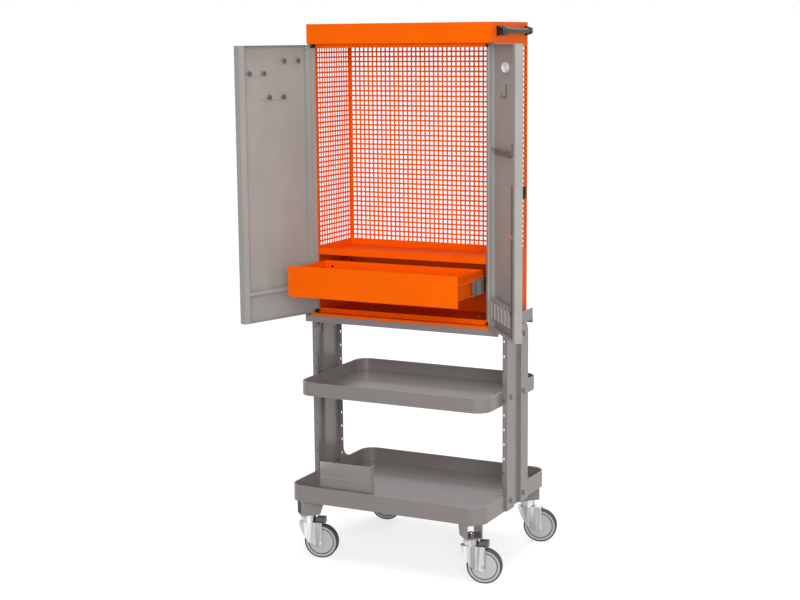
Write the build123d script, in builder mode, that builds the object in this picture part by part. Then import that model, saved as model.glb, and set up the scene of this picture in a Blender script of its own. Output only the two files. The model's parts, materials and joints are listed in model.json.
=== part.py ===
from build123d import *
import math
import os

os.makedirs("parts", exist_ok=True)

# A mobile tool cabinet: a perforated two-door cabinet with a drawer, bolted to a wheeled
# trolley of two columns and two trays. +X is to the right as one faces the doors, +Y goes to
# the back and +Z goes up. The origin is on the floor, below the middle of the cabinet.
# Lengths are in millimetres and angles in degrees.

# Cabinet
WIDTH = 600.0  # across the cabinet
DEPTH = 262.0  # over the shut doors
HEIGHT = 1610.0  # floor to the cabinet's top
BASE_Z = 735.0  # floor to the cabinet's underside
SHEET = 1.2  # wall of the cabinet's and the doors' sheet steel
HEADER = 58.0  # height of the band above the doors
TOP_RAIL = 12.0  # how far the rail behind the doors hangs below that band
PLINTH = 8.0  # height of the band below the doors
SILL = 22.0  # rise of the sill behind that band, above the underside
POST = 20.0  # width of the front posts
BACK_HEM = 10.0  # height of the hem that closes the floor pan's rear edge
FIT = 0.3  # gap left round a sheet part that slips into another
FLUSH_GAP = 0.05  # gap round a pin or a rivet that stays put
OVERRUN = 2.0  # how far a cutting tool passes its work

# Perforation
HOLE = 10.0  # side of a square hole
PITCH = 15.0
PERFORATION_RISE = 208.0  # from the cabinet's underside to the lowest row's edge
PERFORATION_DROP = 13.0  # from the header's underside down to the highest row's edge
BACK_MARGIN = 8.0  # plain steel left at each side of the back
SIDE_FRONT_MARGIN = 41.0  # plain steel in front of the sides' holes
SIDE_BACK_MARGIN = 9.0

# Doors
DOOR_DEPTH = 22.0
DOOR_GAP = 1.5  # between the two doors
HINGE_GAP = 2.5  # between a door and the bands above and below it
LIP = 20.0  # width of the lip folded in along the free edge
HINGE_LIP = 16.0  # width of the lip along the hinge edge
HINGE_DEPTH = 18.0  # door's depth along that lip, which turns clear of the post
STIFFENER = 15.0  # width of the step beside that lip
STIFFENER_DEPTH = 10.0  # from the door's outer face to the step
PIN_INSET = 9.0  # hinge pin's centre from the door's edge and outer face
PIN_RADIUS = 4.0
PIN_HEAD_RADIUS = 5.5
PIN_HEAD = 2.5
PIN_GRIP = 6.0  # how far a pin enters its bush
BUSH_RADIUS = 6.0
BUSH_FLANGE_RADIUS = 8.5
RUNNING_GAP = 0.06  # radial clearance of what turns on a pin
LEFT_OPEN = 107.0  # how far the doors stand open, in degrees
RIGHT_OPEN = 129.3

# Fittings inside the doors
PLATE = 1.5  # thickness of their plates
HOOK_STRIP = 112.0
HOOK_STRIP_HEIGHT = 16.0
HOOK_SPAN = 55.0  # between a strip's two hooks
HOOK_RADIUS = 2.0
HOOK_TIP_RADIUS = 1.7
HOOK_REACH = 14.0
HOOK_RISE = 9.0
BUTTON_RADIUS = 6.0
BUTTON = 2.5
# where the hook strips' middles lie, as shares of the door's width and height
HOOK_STRIP_SHARES = ((0.76, 0.901), (0.51, 0.815), (0.31, 0.944))
TOOL_RAIL = 158.0
TOOL_RAIL_HEIGHT = 22.0
TOOL_RAIL_REACH = 14.0
TOOL_RAIL_SHARES = (0.66, 0.113)
OVAL_WIDTH = 56.0
OVAL_HEIGHT = 28.0
OVAL_DEPTH = 6.0
OVAL_RIM = 3.0
OVAL_SHARES = (0.48, 0.92)
# the right door's two single hooks
SINGLE_HOOK_SHARES = ((0.48, 0.82), (0.68, 0.622))
SINGLE_HOOK_HEIGHT = 34.0
SINGLE_HOOK_WIDTH = 9.0
LEDGE = 150.0
LEDGE_HEIGHT = 18.0
LEDGE_REACH = 13.0
LEDGE_SHARES = (0.37, 0.638)
HOLDER = 206.0
HOLDER_HEIGHT = 60.0
HOLDER_REACH = 17.0
HOLDER_RISE = 30.0  # from the door's lower edge to the holder
HOLDER_RIBS = 6
HOLDER_RIB_RADIUS = 3.0
HOLDER_SLOT = 12.0
HOLDER_SLOT_DEPTH = 15.0

# Lock
LOCK_INSET = 34.0  # spindle's centre from the door's free edge
LOCK_RISE = 408.0  # spindle's centre above the door's lower edge
SPINDLE_RADIUS = 3.0
ROSETTE_RADIUS = 18.0
ROSETTE = 6.0
GRIP_WIDTH = 9.0
GRIP_LENGTH = 34.0
GRIP = 12.0
CAM_RADIUS = 21.0
CAM = 3.0
CAM_DEPTH = 8.0  # from the door's outer face to the cam
CRANK = 16.0  # cam pins' distance from the spindle
CRANK_PIN_RADIUS = 2.5
CRANK_TURN = 90.0  # the handle's whole turn, half of it below level
CRANK_SLOT_GAP = 0.6  # play of a cam pin in a rod's slot
NUT_WIDTH = 10.0
NUT = 3.0
ROD_WIDTH = 8.0
ROD = 3.0
ROD_DEPTH = 14.0  # from the door's outer face to the rods
ROD_FOOT = 14.0  # height of the slotted foot of a rod
UPPER_ROD_SHORT = 12.0  # how far a drawn-in rod ends inside the door
LOWER_ROD_SHORT = 17.0
ROD_GAP = 0.15
GUIDE_WALL = 4.0
GUIDE_HEIGHT = 12.0
# places of the rods' guides along the rods, as shares from the lock to the door's edge
GUIDE_SHARES = (0.3, 0.82)

# Shelf and drawer
SHELF_RISE = 186.0  # from the cabinet's underside to the shelf
SHELF_LIP = 20.0
DRAWER_WIDTH = 548.0
DRAWER_FRONT_HEIGHT = 91.0
DRAWER_FRONT_RISE = 86.0  # from the cabinet's underside to the drawer front
DRAWER_FRONT = 2.0
DRAWER_RISE = 18.0  # from the front's lower edge to the box
DRAWER_HEIGHT = 65.0
DRAWER_DEPTH = 200.0
DRAWER_STEP_Z = 46.0  # height of the step in the drawer's sides
DRAWER_STEP = 3.0
DRAWER_SET = 1.5  # how far the shut drawer stands behind the doors
DRAWER_TRAVEL = 200.0
SLIDE_HEIGHT = 48.0
SLIDE_SHEET = 1.2
SLIDE_LENGTH = 190.0
SLIDE_LAP = 3.0  # how far one slide member's flanges stand inside the next
SLIDE_PLAY = 0.3
SLIDE_START = 4.0  # from the posts' rear faces to the slides
SLIDE_THICK = 13.0  # from the drawer's side to the bracket

# Rivets and screws
RIVET_RADIUS = 2.0
RIVET_HEAD_RADIUS = 3.6
RIVET_HEAD = 1.6
RIVET_SPREAD = 60.0  # rivets' distance before and behind the cabinet's middle

# Carrying handle on the right side
HANDLE_DROP = 25.0  # from the cabinet's top to the bar
HANDLE_END_HEIGHT = 29.0  # of an end against the side panel
HANDLE_TIP_HEIGHT = 16.0  # of an end at its outer face
HANDLE_END_WIDTH = 14.0
HANDLE_REACH = 20.0
HANDLE_BAR_RADIUS = 6.0
HANDLE_BAR_OFFSET = 13.0  # from the side panel to the bar's axis
HANDLE_FRONT_INSET = 39.0  # from the cabinet's front to the front end's middle
HANDLE_SPAN = 207.0
HANDLE_FILLET = 4.0

# Trolley frame and columns
FRAME_WIDTH = 641.0
FRAME_SHEET = 2.5
FRAME_BAND = 20.0  # height of the front and rear bands
FRAME_SIDE_RISE = 26.0  # side walls above the cabinet's underside
FRAME_SIDE_DROP = 9.0
COLUMN_SPREAD = 654.0  # over both columns
COLUMN_DEPTH = 160.0
COLUMN_FLANGE = 15.0
COLUMN_SHEET = 2.5
GROOVE_WIDTH = 50.0
GROOVE_DEPTH = 8.0
COLUMN_CHAMFER_WIDTH = 12.0
COLUMN_CHAMFER_HEIGHT = 20.0
COLUMN_SLOT_WIDTH = 4.0
COLUMN_SLOT = 8.0
COLUMN_SLOT_PITCH = 44.0
COLUMN_SLOT_EDGE = 4.5  # slot's middle from the flange's edge
COLUMN_SLOT_RISE = 27.0  # lowest slot above the column's foot
HEAD_REACH = 50.0
HEAD_DROP = 60.0
GUSSET_HEIGHT = 41.0  # above the bottom tray's rim
GUSSET_REACH = 40.0
GUSSET_TAIL = 30.0  # below the rim
GUSSET_EDGE = 4.0  # plain edge at each end of its hollow

# Trays
TRAY_SHEET = 2.0
TRAY_HEM = 7.0
TRAY_RADIUS = 45.0
MID_TRAY_DEPTH = 407.0
MID_TRAY_RIM = 542.0
MID_TRAY_WALL = 42.0
MID_TRAY_GAP = 0.5  # between the tray's ends and the columns' flanges
BOTTOM_TRAY_WIDTH = 641.0
BOTTOM_TRAY_DEPTH = 504.0
BOTTOM_TRAY_RIM = 231.0
BOTTOM_TRAY_WALL = 50.0
NOTCH_GAP = 1.0
SPACER_WIDTH = 36.0  # of the brackets between the trays and the columns
SPACER_MARGIN = 5.0  # from a tray's rim and floor to its brackets
DIVIDER_LENGTH = 180.0
DIVIDER_RISE = 32.0  # above the bottom tray's rim
DIVIDER_FLANGE = 20.0
DIVIDER_BEAD = 28.0  # height of the bead above the tray's floor
DIVIDER_BEAD_RADIUS = 1.6

# Bolts
BOLT_RADIUS = 4.0
BOLT_HEAD_WIDTH = 13.0
BOLT_HEAD = 5.5
BASE_BOLT_X = 182.0
BASE_BOLT_Y = 50.0

# Casters
WHEEL_RADIUS = 52.0
CASTER_X = 272.0
CASTER_Y = 216.0
TRAIL = 40.0
CASTER_TURN = 14.0  # how far the casters' trail is turned from +X
TYRE_WIDTH = 25.0
TYRE_THICK = 4.5
TYRE_FILLET = 3.5
DISC_WIDTH = 22.0
HUB_RADIUS = 13.0
HUB_WIDTH = 30.0
DISC_GROOVE_RADIUS = 39.0
DISC_GROOVE = 2.5
AXLE_RADIUS = 4.0
AXLE_HEAD = 4.5
FORK_WIDTH = 36.0
FORK_SHEET = 2.5
FORK_TOP = 112.0
FORK_NOSE = 31.0  # from the stem's axis to the nose
FORK_NOSE_DEPTH = 6.0  # height of the nose's upright edge
FORK_TAIL = 5.0  # legs' rear edge behind the axle
FORK_TOE = 38.0  # height of the legs' lowest edge
# the legs' lower edge, as shares of the way from nose to tail and of the height from toe to top
FORK_EDGE_SHARES = ((0.8, 0.0), (0.6, 0.07), (0.41, 0.16), (0.22, 0.49))
STEM_RADIUS = 6.0
STEM_HEAD_RADIUS = 9.0
STEM_HEAD = 3.0
RACE_RADIUS = 22.5
RACE_TOP = 135.0
RACE_SPLIT = 128.0  # where the turning race meets the fixed one
RACE_GROOVE = 2.0
BRACKET_SHEET = 4.0
BRACKET_WIDTH = 50.0
BRACKET_LENGTH = 58.0
BRACKET_TAPER = 16.0
STEM_NUT_WIDTH = 19.0
STEM_NUT = 10.0
PEDAL_RISE = 3.0  # from the fork's top to the pedal
PEDAL_HEIGHT = 12.0
PEDAL_WIDTH = 30.0
PEDAL_START = 25.0  # pedal's front face behind the stem's axis
PEDAL_LENGTH = 27.0
PEDAL_ARM = 4.5
PEDAL_ARM_DROP = 7.0
PEDAL_FILLET = 2.0
LUG_WIDTH = 8.0
LUG_LENGTH = 10.0
LUG_GAP = 0.4
PEDAL_PIN_RADIUS = 2.0

# Places that follow
FRONT = -DEPTH / 2
BACK = DEPTH / 2
BODY_FRONT = FRONT + DOOR_DEPTH
HALF = WIDTH / 2
INNER = HALF - SHEET
HEADER_Z = HEIGHT - HEADER
LEDGE_Z = BASE_Z + PLINTH
DOOR_BOTTOM = LEDGE_Z + HINGE_GAP
DOOR_TOP = HEADER_Z - HINGE_GAP
DOOR_HEIGHT = DOOR_TOP - DOOR_BOTTOM
DOOR_WIDTH = HALF - DOOR_GAP / 2
PIN_X = HALF - PIN_INSET
PIN_Y = FRONT + PIN_INSET
SIDES = (-1, 1)
SHELF_Z = BASE_Z + SHELF_RISE
DRAWER_BOTTOM = BASE_Z + DRAWER_FRONT_RISE + DRAWER_RISE
DRAWER_Y = BODY_FRONT + DRAWER_SET - DRAWER_TRAVEL
SLIDE_Z = DRAWER_BOTTOM + DRAWER_STEP_Z / 2
SLIDE_INNER_Z = SLIDE_HEIGHT / 2 - SLIDE_SHEET - SLIDE_PLAY  # half height of the middle member
SLIDE_CORE_Z = SLIDE_INNER_Z - SLIDE_SHEET - SLIDE_PLAY  # half height of the drawer's member
SLIDE_Y = BODY_FRONT + SHEET + SLIDE_START
BOX_HALF = DRAWER_WIDTH / 2 - SLIDE_THICK + SLIDE_LAP
COLUMN_X = COLUMN_SPREAD / 2
COLUMN_TIP = COLUMN_X - COLUMN_FLANGE
COLUMN_FOOT = BOTTOM_TRAY_RIM - BOTTOM_TRAY_WALL
COLUMN_TOP = BASE_Z - FRAME_SIDE_DROP
WEB_INNER = COLUMN_X - COLUMN_SHEET
MID_TRAY_WIDTH = 2 * (COLUMN_TIP - MID_TRAY_GAP)
NOTCH_DEPTH = BOTTOM_TRAY_WIDTH / 2 - COLUMN_TIP + NOTCH_GAP / 2
NOTCH_LENGTH = COLUMN_DEPTH + 2 * NOTCH_GAP
BRACKET_TOP = COLUMN_FOOT


def slab(x, y, z, mode=Mode.ADD):
    """A block between two places on each axis, in the part being built."""
    x, y, z = sorted(x), sorted(y), sorted(z)
    middle = ((x[0] + x[1]) / 2, (y[0] + y[1]) / 2, (z[0] + z[1]) / 2)
    with Locations(middle):
        Box(x[1] - x[0], y[1] - y[0], z[1] - z[0], mode=mode)


def rod(centre, radius, length, direction=(0, 0, 1), mode=Mode.ADD):
    """A round bar from a centre along a direction, in the part being built."""
    with BuildSketch(Plane(origin=centre, z_dir=direction)) as section:
        Circle(radius)
    extrude(section.sketch, amount=length, dir=Vector(direction), mode=mode)


def hexagon(centre, width, length, direction=(0, 0, 1)):
    """A six-sided nut or bolt head of a given width over its flats."""
    with BuildSketch(Plane(origin=centre, z_dir=direction)) as section:
        RegularPolygon(width / 2, 6, major_radius=False)
    extrude(section.sketch, amount=length, dir=Vector(direction))


def mirrored(side, near, far):
    """Two places given outwards from the middle, on one side of it."""
    return (side * near, side * far)


def rectangle_wire(plane, x, y):
    """A closed rectangle between two places on each axis of a plane."""
    corners = ((x[0], y[0]), (x[1], y[0]), (x[1], y[1]), (x[0], y[1]))
    points = [plane.from_local_coords((u, v, 0)) for u, v in corners]
    return Wire.make_polygon(points)


def hole_places(low, high):
    """Middles of the holes that fit between two places, spread about their middle."""
    count = int((high - low - HOLE) / PITCH) + 1
    start = (low + high - (count - 1) * PITCH) / 2
    return [start + PITCH * i for i in range(count)]


def perforated(plane, x, y, hole_x):
    """A flat sheet with rows of square holes, their columns between two places of hole_x."""
    columns = hole_places(*hole_x)
    rows = hole_places(BASE_Z + PERFORATION_RISE, HEADER_Z - PERFORATION_DROP)
    half = HOLE / 2
    holes = [
        rectangle_wire(plane, (u - half, u + half), (v - half, v + half))
        for u in columns
        for v in rows
    ]
    return Face(rectangle_wire(plane, x, y), holes)


def rivet_places():
    """Places of the rivets on a side panel: along the shelf and along the drawer slide."""
    rows = (SHELF_Z + SHELF_LIP / 2, SLIDE_Z)
    return [(y * RIVET_SPREAD, z) for z in rows for y in SIDES]


# Roof cap: top, front band, its underside, the rail behind the doors and the band's ends
with BuildPart() as roof_cap:
    slab((-HALF, HALF), (FRONT, BACK), (HEIGHT - SHEET, HEIGHT))
    slab((-HALF, HALF), (FRONT, FRONT + SHEET), (HEADER_Z, HEIGHT))
    slab((-HALF, HALF), (FRONT, BODY_FRONT), (HEADER_Z, HEADER_Z + SHEET))
    slab(
        (-HALF + POST, HALF - POST),
        (BODY_FRONT - SHEET, BODY_FRONT + SHEET),
        (HEADER_Z, HEADER_Z + SHEET),
    )
    slab(
        (-HALF + POST, HALF - POST),
        (BODY_FRONT, BODY_FRONT + SHEET),
        (HEADER_Z - TOP_RAIL, HEADER_Z + SHEET),
    )
    for side in SIDES:
        slab(mirrored(side, INNER, HALF), (FRONT, BODY_FRONT), (HEADER_Z, HEIGHT))
        rod(
            (side * PIN_X, PIN_Y, HEADER_Z - OVERRUN),
            BUSH_RADIUS + FLUSH_GAP,
            SHEET + 2 * OVERRUN,
            mode=Mode.SUBTRACT,
        )
    # the upper rod shoots into this slot when the doors are shut
    rod_x = HALF - (DOOR_WIDTH - LOCK_INSET + CRANK)
    rod_y = FRONT + ROD_DEPTH + ROD / 2
    slab(
        (rod_x - ROD_WIDTH, rod_x + ROD_WIDTH),
        (rod_y - ROD, rod_y + ROD),
        (HEADER_Z - OVERRUN, HEADER_Z + SHEET + OVERRUN),
        mode=Mode.SUBTRACT,
    )
roof_cap.part.label = "roof_cap"
export_step(roof_cap.part, "parts/roof_cap.step")


def make_side_panel(side):
    """A perforated side wall with its front post and rivet holes."""
    plane = Plane(origin=(side * HALF, 0, 0), x_dir=(0, 1, 0), z_dir=(1, 0, 0))
    hole_y = (BODY_FRONT + SIDE_FRONT_MARGIN, BACK - SIDE_BACK_MARGIN)
    sheet = perforated(plane, (BODY_FRONT, BACK), (BASE_Z, HEIGHT - SHEET), hole_y)
    with BuildPart() as panel:
        extrude(sheet, amount=SHEET, dir=(-side, 0, 0))
        slab(
            mirrored(side, HALF - POST, HALF),
            (BODY_FRONT, BODY_FRONT + SHEET),
            (LEDGE_Z, HEADER_Z),
        )
        for y, z in rivet_places():
            rod(
                (side * (INNER - OVERRUN), y, z),
                RIVET_RADIUS + FLUSH_GAP,
                SHEET + 2 * OVERRUN,
                (side, 0, 0),
                Mode.SUBTRACT,
            )
    return panel


side_panel_left = make_side_panel(-1)
side_panel_left.part.label = "side_panel_left"
export_step(side_panel_left.part, "parts/side_panel_left.step")
side_panel_right = make_side_panel(1)
side_panel_right.part.label = "side_panel_right"
export_step(side_panel_right.part, "parts/side_panel_right.step")

# Back panel
back_plane = Plane(origin=(0, BACK, 0), x_dir=(1, 0, 0), z_dir=(0, -1, 0))
back_sheet = perforated(
    back_plane, (-INNER, INNER), (BASE_Z, HEIGHT - SHEET), (-HALF + BACK_MARGIN, HALF - BACK_MARGIN)
)
with BuildPart() as back_panel:
    extrude(back_sheet, amount=SHEET, dir=(0, -1, 0))
back_panel.part.label = "back_panel"
export_step(back_panel.part, "parts/back_panel.step")

# Floor pan with the plinth below the doors and the sill behind them
with BuildPart() as cabinet_floor:
    slab((-INNER, INNER), (BODY_FRONT, BACK - SHEET), (BASE_Z, BASE_Z + SHEET))
    slab((-HALF, HALF), (FRONT, FRONT + SHEET), (BASE_Z, LEDGE_Z))
    slab((-HALF, HALF), (FRONT, BODY_FRONT), (LEDGE_Z - SHEET, LEDGE_Z))
    slab((-INNER, INNER), (BODY_FRONT, BODY_FRONT + SHEET), (BASE_Z, LEDGE_Z))
    slab(
        (-HALF + POST, HALF - POST),
        (BODY_FRONT, BODY_FRONT + SHEET),
        (BASE_Z, BASE_Z + SILL),
    )
    slab((-INNER, INNER), (BACK - 2 * SHEET, BACK - SHEET), (BASE_Z, BASE_Z + BACK_HEM))
    for side in SIDES:
        slab(mirrored(side, INNER, HALF), (FRONT, BODY_FRONT - FLUSH_GAP), (BASE_Z, LEDGE_Z))
        rod(
            (side * PIN_X, PIN_Y, LEDGE_Z - SHEET - OVERRUN),
            BUSH_RADIUS + FLUSH_GAP,
            SHEET + 2 * OVERRUN,
            mode=Mode.SUBTRACT,
        )
        for y in SIDES:
            rod(
                (side * BASE_BOLT_X, y * BASE_BOLT_Y, BASE_Z - OVERRUN),
                BOLT_RADIUS + FLUSH_GAP,
                SHEET + 2 * OVERRUN,
                mode=Mode.SUBTRACT,
            )
    # the lower rod shoots into this slot when the doors are shut
    lower_rod_x = HALF - (DOOR_WIDTH - LOCK_INSET - CRANK)
    slab(
        (lower_rod_x - ROD_WIDTH, lower_rod_x + ROD_WIDTH),
        (rod_y - ROD, rod_y + ROD),
        (LEDGE_Z - SHEET - OVERRUN, LEDGE_Z + OVERRUN),
        mode=Mode.SUBTRACT,
    )
cabinet_floor.part.label = "cabinet_floor"
export_step(cabinet_floor.part, "parts/cabinet_floor.step")

# Shelf tray above the drawer
shelf_half = INNER - FIT
shelf_front = BODY_FRONT + SHEET + FIT
shelf_back = BACK - SHEET - FIT
with BuildPart() as shelf_tray:
    slab((-shelf_half, shelf_half), (shelf_front, shelf_back), (SHELF_Z, SHELF_Z + SHEET))
    shelf_lip = (SHELF_Z, SHELF_Z + SHELF_LIP)
    slab((-shelf_half, shelf_half), (shelf_front, shelf_front + SHEET), shelf_lip)
    slab((-shelf_half, shelf_half), (shelf_back - SHEET, shelf_back), shelf_lip)
    for side in SIDES:
        slab(
            mirrored(side, shelf_half - SHEET, shelf_half), (shelf_front, shelf_back), shelf_lip
        )
        for y in SIDES:
            rod(
                (side * (shelf_half - SHEET - OVERRUN), y * RIVET_SPREAD, SHELF_Z + SHELF_LIP / 2),
                RIVET_RADIUS + FLUSH_GAP,
                SHEET + 2 * OVERRUN,
                (side, 0, 0),
                Mode.SUBTRACT,
            )
shelf_tray.part.label = "shelf_tray"
export_step(shelf_tray.part, "parts/shelf_tray.step")

# Drawer slides: outer members on brackets, middle members, inner members on the drawer
slide_z = (SLIDE_Z - SLIDE_HEIGHT / 2, SLIDE_Z + SLIDE_HEIGHT / 2)
slide_reach = BOX_HALF + SLIDE_THICK  # outer face of the outer members
slide_y = (SLIDE_Y, SLIDE_Y + SLIDE_LENGTH)


def slide_channel(side, web, tip, half_height, y):
    """A slide member of channel section, its web at one place and its flanges to the tip."""
    thick = SLIDE_SHEET if tip < web else -SLIDE_SHEET
    z = (SLIDE_Z - half_height, SLIDE_Z + half_height)
    slab(mirrored(side, web - thick, web), y, z)
    slab(mirrored(side, tip, web), y, (z[0], z[0] + SLIDE_SHEET))
    slab(mirrored(side, tip, web), y, (z[1] - SLIDE_SHEET, z[1]))


middle_web = slide_reach - SLIDE_SHEET - SLIDE_LAP
core_tip = middle_web - SLIDE_SHEET - SLIDE_PLAY
with BuildPart() as slide_outer_rails:
    for side in SIDES:
        outer_tip = middle_web - SLIDE_SHEET - SLIDE_LAP / 2
        slide_channel(side, slide_reach, outer_tip, SLIDE_HEIGHT / 2, slide_y)
slide_outer_rails.part.label = "slide_outer_rails"
export_step(slide_outer_rails.part, "parts/slide_outer_rails.step")

middle_y = (SLIDE_Y - DRAWER_TRAVEL / 2, SLIDE_Y - DRAWER_TRAVEL / 2 + SLIDE_LENGTH)
with BuildPart() as slide_middle_rails:
    for side in SIDES:
        middle_tip = BOX_HALF + 2 * SLIDE_SHEET
        slide_channel(side, middle_web, middle_tip, SLIDE_INNER_Z, middle_y)
slide_middle_rails.part.label = "slide_middle_rails"
export_step(slide_middle_rails.part, "parts/slide_middle_rails.step")

inner_y = (SLIDE_Y - DRAWER_TRAVEL, SLIDE_Y - DRAWER_TRAVEL + SLIDE_LENGTH)
with BuildPart() as slide_inner_rails:
    for side in SIDES:
        slide_channel(side, BOX_HALF, core_tip, SLIDE_CORE_Z, inner_y)
slide_inner_rails.part.label = "slide_inner_rails"
export_step(slide_inner_rails.part, "parts/slide_inner_rails.step")

with BuildPart() as slide_brackets:
    for side in SIDES:
        slab(mirrored(side, slide_reach, INNER), slide_y, slide_z)
        slab(
            mirrored(side, slide_reach + SHEET, INNER - SHEET),
            (slide_y[0] - OVERRUN, slide_y[1] + OVERRUN),
            (slide_z[0] + SHEET, slide_z[1] - SHEET),
            mode=Mode.SUBTRACT,
        )
        for y in SIDES:
            rod(
                (side * (INNER - SHEET - OVERRUN), y * RIVET_SPREAD, SLIDE_Z),
                RIVET_RADIUS + FLUSH_GAP,
                SHEET + 2 * OVERRUN,
                (side, 0, 0),
                Mode.SUBTRACT,
            )
slide_brackets.part.label = "slide_brackets"
export_step(slide_brackets.part, "parts/slide_brackets.step")

# Rivets that hold the shelf and the slide brackets to the side panels
with BuildPart() as cabinet_rivets:
    for side in SIDES:
        for y, z in rivet_places():
            rod((side * HALF, y, z), RIVET_HEAD_RADIUS, RIVET_HEAD, (side, 0, 0))
            rod(
                (side * HALF, y, z),
                RIVET_RADIUS,
                2 * SHEET + FIT,
                (-side, 0, 0),
            )
cabinet_rivets.part.label = "cabinet_rivets"
export_step(cabinet_rivets.part, "parts/cabinet_rivets.step")

# Drawer box, open at the top, its sides stepped in near their upper edge
drawer_back = DRAWER_Y + DRAWER_FRONT + DRAWER_DEPTH
drawer_low = (DRAWER_BOTTOM, DRAWER_BOTTOM + DRAWER_STEP_Z)
drawer_z = (DRAWER_BOTTOM, DRAWER_BOTTOM + DRAWER_HEIGHT)
drawer_y = (DRAWER_Y + DRAWER_FRONT, drawer_back)
upper_half = BOX_HALF - DRAWER_STEP
with BuildPart() as drawer_box:
    slab((-BOX_HALF, BOX_HALF), drawer_y, (DRAWER_BOTTOM, DRAWER_BOTTOM + SHEET))
    for side in SIDES:
        slab(mirrored(side, BOX_HALF - SHEET, BOX_HALF), drawer_y, drawer_low)
        slab(
            mirrored(side, upper_half - SHEET, BOX_HALF),
            drawer_y,
            (drawer_low[1] - SHEET, drawer_low[1]),
        )
        slab(
            mirrored(side, upper_half - SHEET, upper_half),
            drawer_y,
            (drawer_low[1] - SHEET, drawer_z[1]),
        )
    for y in ((drawer_y[0], drawer_y[0] + SHEET), (drawer_y[1] - SHEET, drawer_y[1])):
        slab((-BOX_HALF, BOX_HALF), y, drawer_low)
        slab((-upper_half, upper_half), y, drawer_z)
    rod(
        (-upper_half + SLIDE_HEIGHT / 2, drawer_y[1] - SHEET - OVERRUN, drawer_z[1] - DRAWER_RISE),
        BOLT_RADIUS,
        SHEET + 2 * OVERRUN,
        (0, 1, 0),
        Mode.SUBTRACT,
    )
drawer_box.part.label = "drawer_box"
export_step(drawer_box.part, "parts/drawer_box.step")

drawer_front_z = BASE_Z + DRAWER_FRONT_RISE
with BuildPart() as drawer_front:
    slab(
        (-DRAWER_WIDTH / 2, DRAWER_WIDTH / 2),
        (DRAWER_Y, DRAWER_Y + DRAWER_FRONT),
        (drawer_front_z, drawer_front_z + DRAWER_FRONT_HEIGHT),
    )
drawer_front.part.label = "drawer_front"
export_step(drawer_front.part, "parts/drawer_front.step")


# Hinge bushes: a flange in the gap above or below the door and a barrel through the band
with BuildPart() as hinge_bushes:
    for side in SIDES:
        for z, up in ((HEADER_Z, 1), (LEDGE_Z, -1)):
            rod(
                (side * PIN_X, PIN_Y, z - up * (HINGE_GAP - FIT)),
                BUSH_FLANGE_RADIUS,
                HINGE_GAP - FIT,
                (0, 0, up),
            )
            rod((side * PIN_X, PIN_Y, z), BUSH_RADIUS, PIN_GRIP + FIT, (0, 0, up))
            rod(
                (side * PIN_X, PIN_Y, z - up * HINGE_GAP),
                PIN_RADIUS + RUNNING_GAP,
                HINGE_GAP + PIN_GRIP + OVERRUN,
                (0, 0, up),
                Mode.SUBTRACT,
            )
hinge_bushes.part.label = "hinge_bushes"
export_step(hinge_bushes.part, "parts/hinge_bushes.step")


def door_plane(side, opened):
    """A door's plane: its origin is on the hinge pin and its X runs to the free edge."""
    turn = math.radians(side * opened)
    along = (-side * math.cos(turn), -side * math.sin(turn), 0)
    return Plane(origin=(side * PIN_X, PIN_Y, 0), x_dir=along, z_dir=(0, 0, 1))


LEFT = door_plane(-1, LEFT_OPEN)
RIGHT = door_plane(1, RIGHT_OPEN)


def door_slab(side, s, d, z, mode=Mode.ADD):
    """A block in a door: s from the hinge edge, d from the outer face, z above the floor."""
    x = [value - PIN_INSET for value in s]
    y = [-side * (value - PIN_INSET) for value in d]
    slab(x, y, z, mode)


def door_point(plane, side, s, d, z):
    """The place in space of a point given in a door's widths and depths."""
    return plane.from_local_coords((s - PIN_INSET, -side * (d - PIN_INSET), z))


def door_inward(plane, side):
    """The direction from a door's outer face to its inner side."""
    return plane.y_dir * -side


def door_place(shares):
    """A width and a height on a door from shares of its width and height."""
    return DOOR_WIDTH * shares[0], DOOR_BOTTOM + DOOR_HEIGHT * shares[1]


def make_door(plane, side):
    """A door pan: outer sheet, four edge flanges and the lips folded in at two of them."""
    z = (DOOR_BOTTOM, DOOR_TOP)
    with BuildPart(plane) as pan:
        door_slab(side, (0, DOOR_WIDTH), (0, SHEET), z)
        for s, deep, lip in (
            ((0, SHEET), HINGE_DEPTH, (0, HINGE_LIP)),
            ((DOOR_WIDTH - SHEET, DOOR_WIDTH), DOOR_DEPTH, (DOOR_WIDTH - LIP, DOOR_WIDTH)),
        ):
            door_slab(side, s, (0, deep), z)
            door_slab(side, lip, (deep - SHEET, deep), z)
        for level in ((z[0], z[0] + SHEET), (z[1] - SHEET, z[1])):
            door_slab(side, (0, DOOR_WIDTH), (0, HINGE_DEPTH), level)
            door_slab(side, (HINGE_LIP, DOOR_WIDTH), (0, DOOR_DEPTH), level)
    with BuildPart() as finished:
        add(pan.part)
        for level in (DOOR_BOTTOM - OVERRUN, DOOR_TOP - SHEET - OVERRUN):
            rod(
                (side * PIN_X, PIN_Y, level),
                PIN_RADIUS + FLUSH_GAP,
                SHEET + 2 * OVERRUN,
                mode=Mode.SUBTRACT,
            )
    return finished


def make_stiffener(plane, side):
    """The step beside the hinge lip, which makes a box of the hinge edge."""
    z = (DOOR_BOTTOM + SHEET, DOOR_TOP - SHEET)
    step = (HINGE_LIP, HINGE_LIP + STIFFENER)
    with BuildPart(plane) as strip:
        door_slab(side, (step[0] - SHEET, step[0]), (STIFFENER_DEPTH, HINGE_DEPTH - SHEET), z)
        door_slab(
            side, (step[0] - SHEET, step[1]), (STIFFENER_DEPTH, STIFFENER_DEPTH + SHEET), z
        )
        door_slab(side, (step[1] - SHEET, step[1]), (SHEET, STIFFENER_DEPTH + SHEET), z)
    return strip


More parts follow.
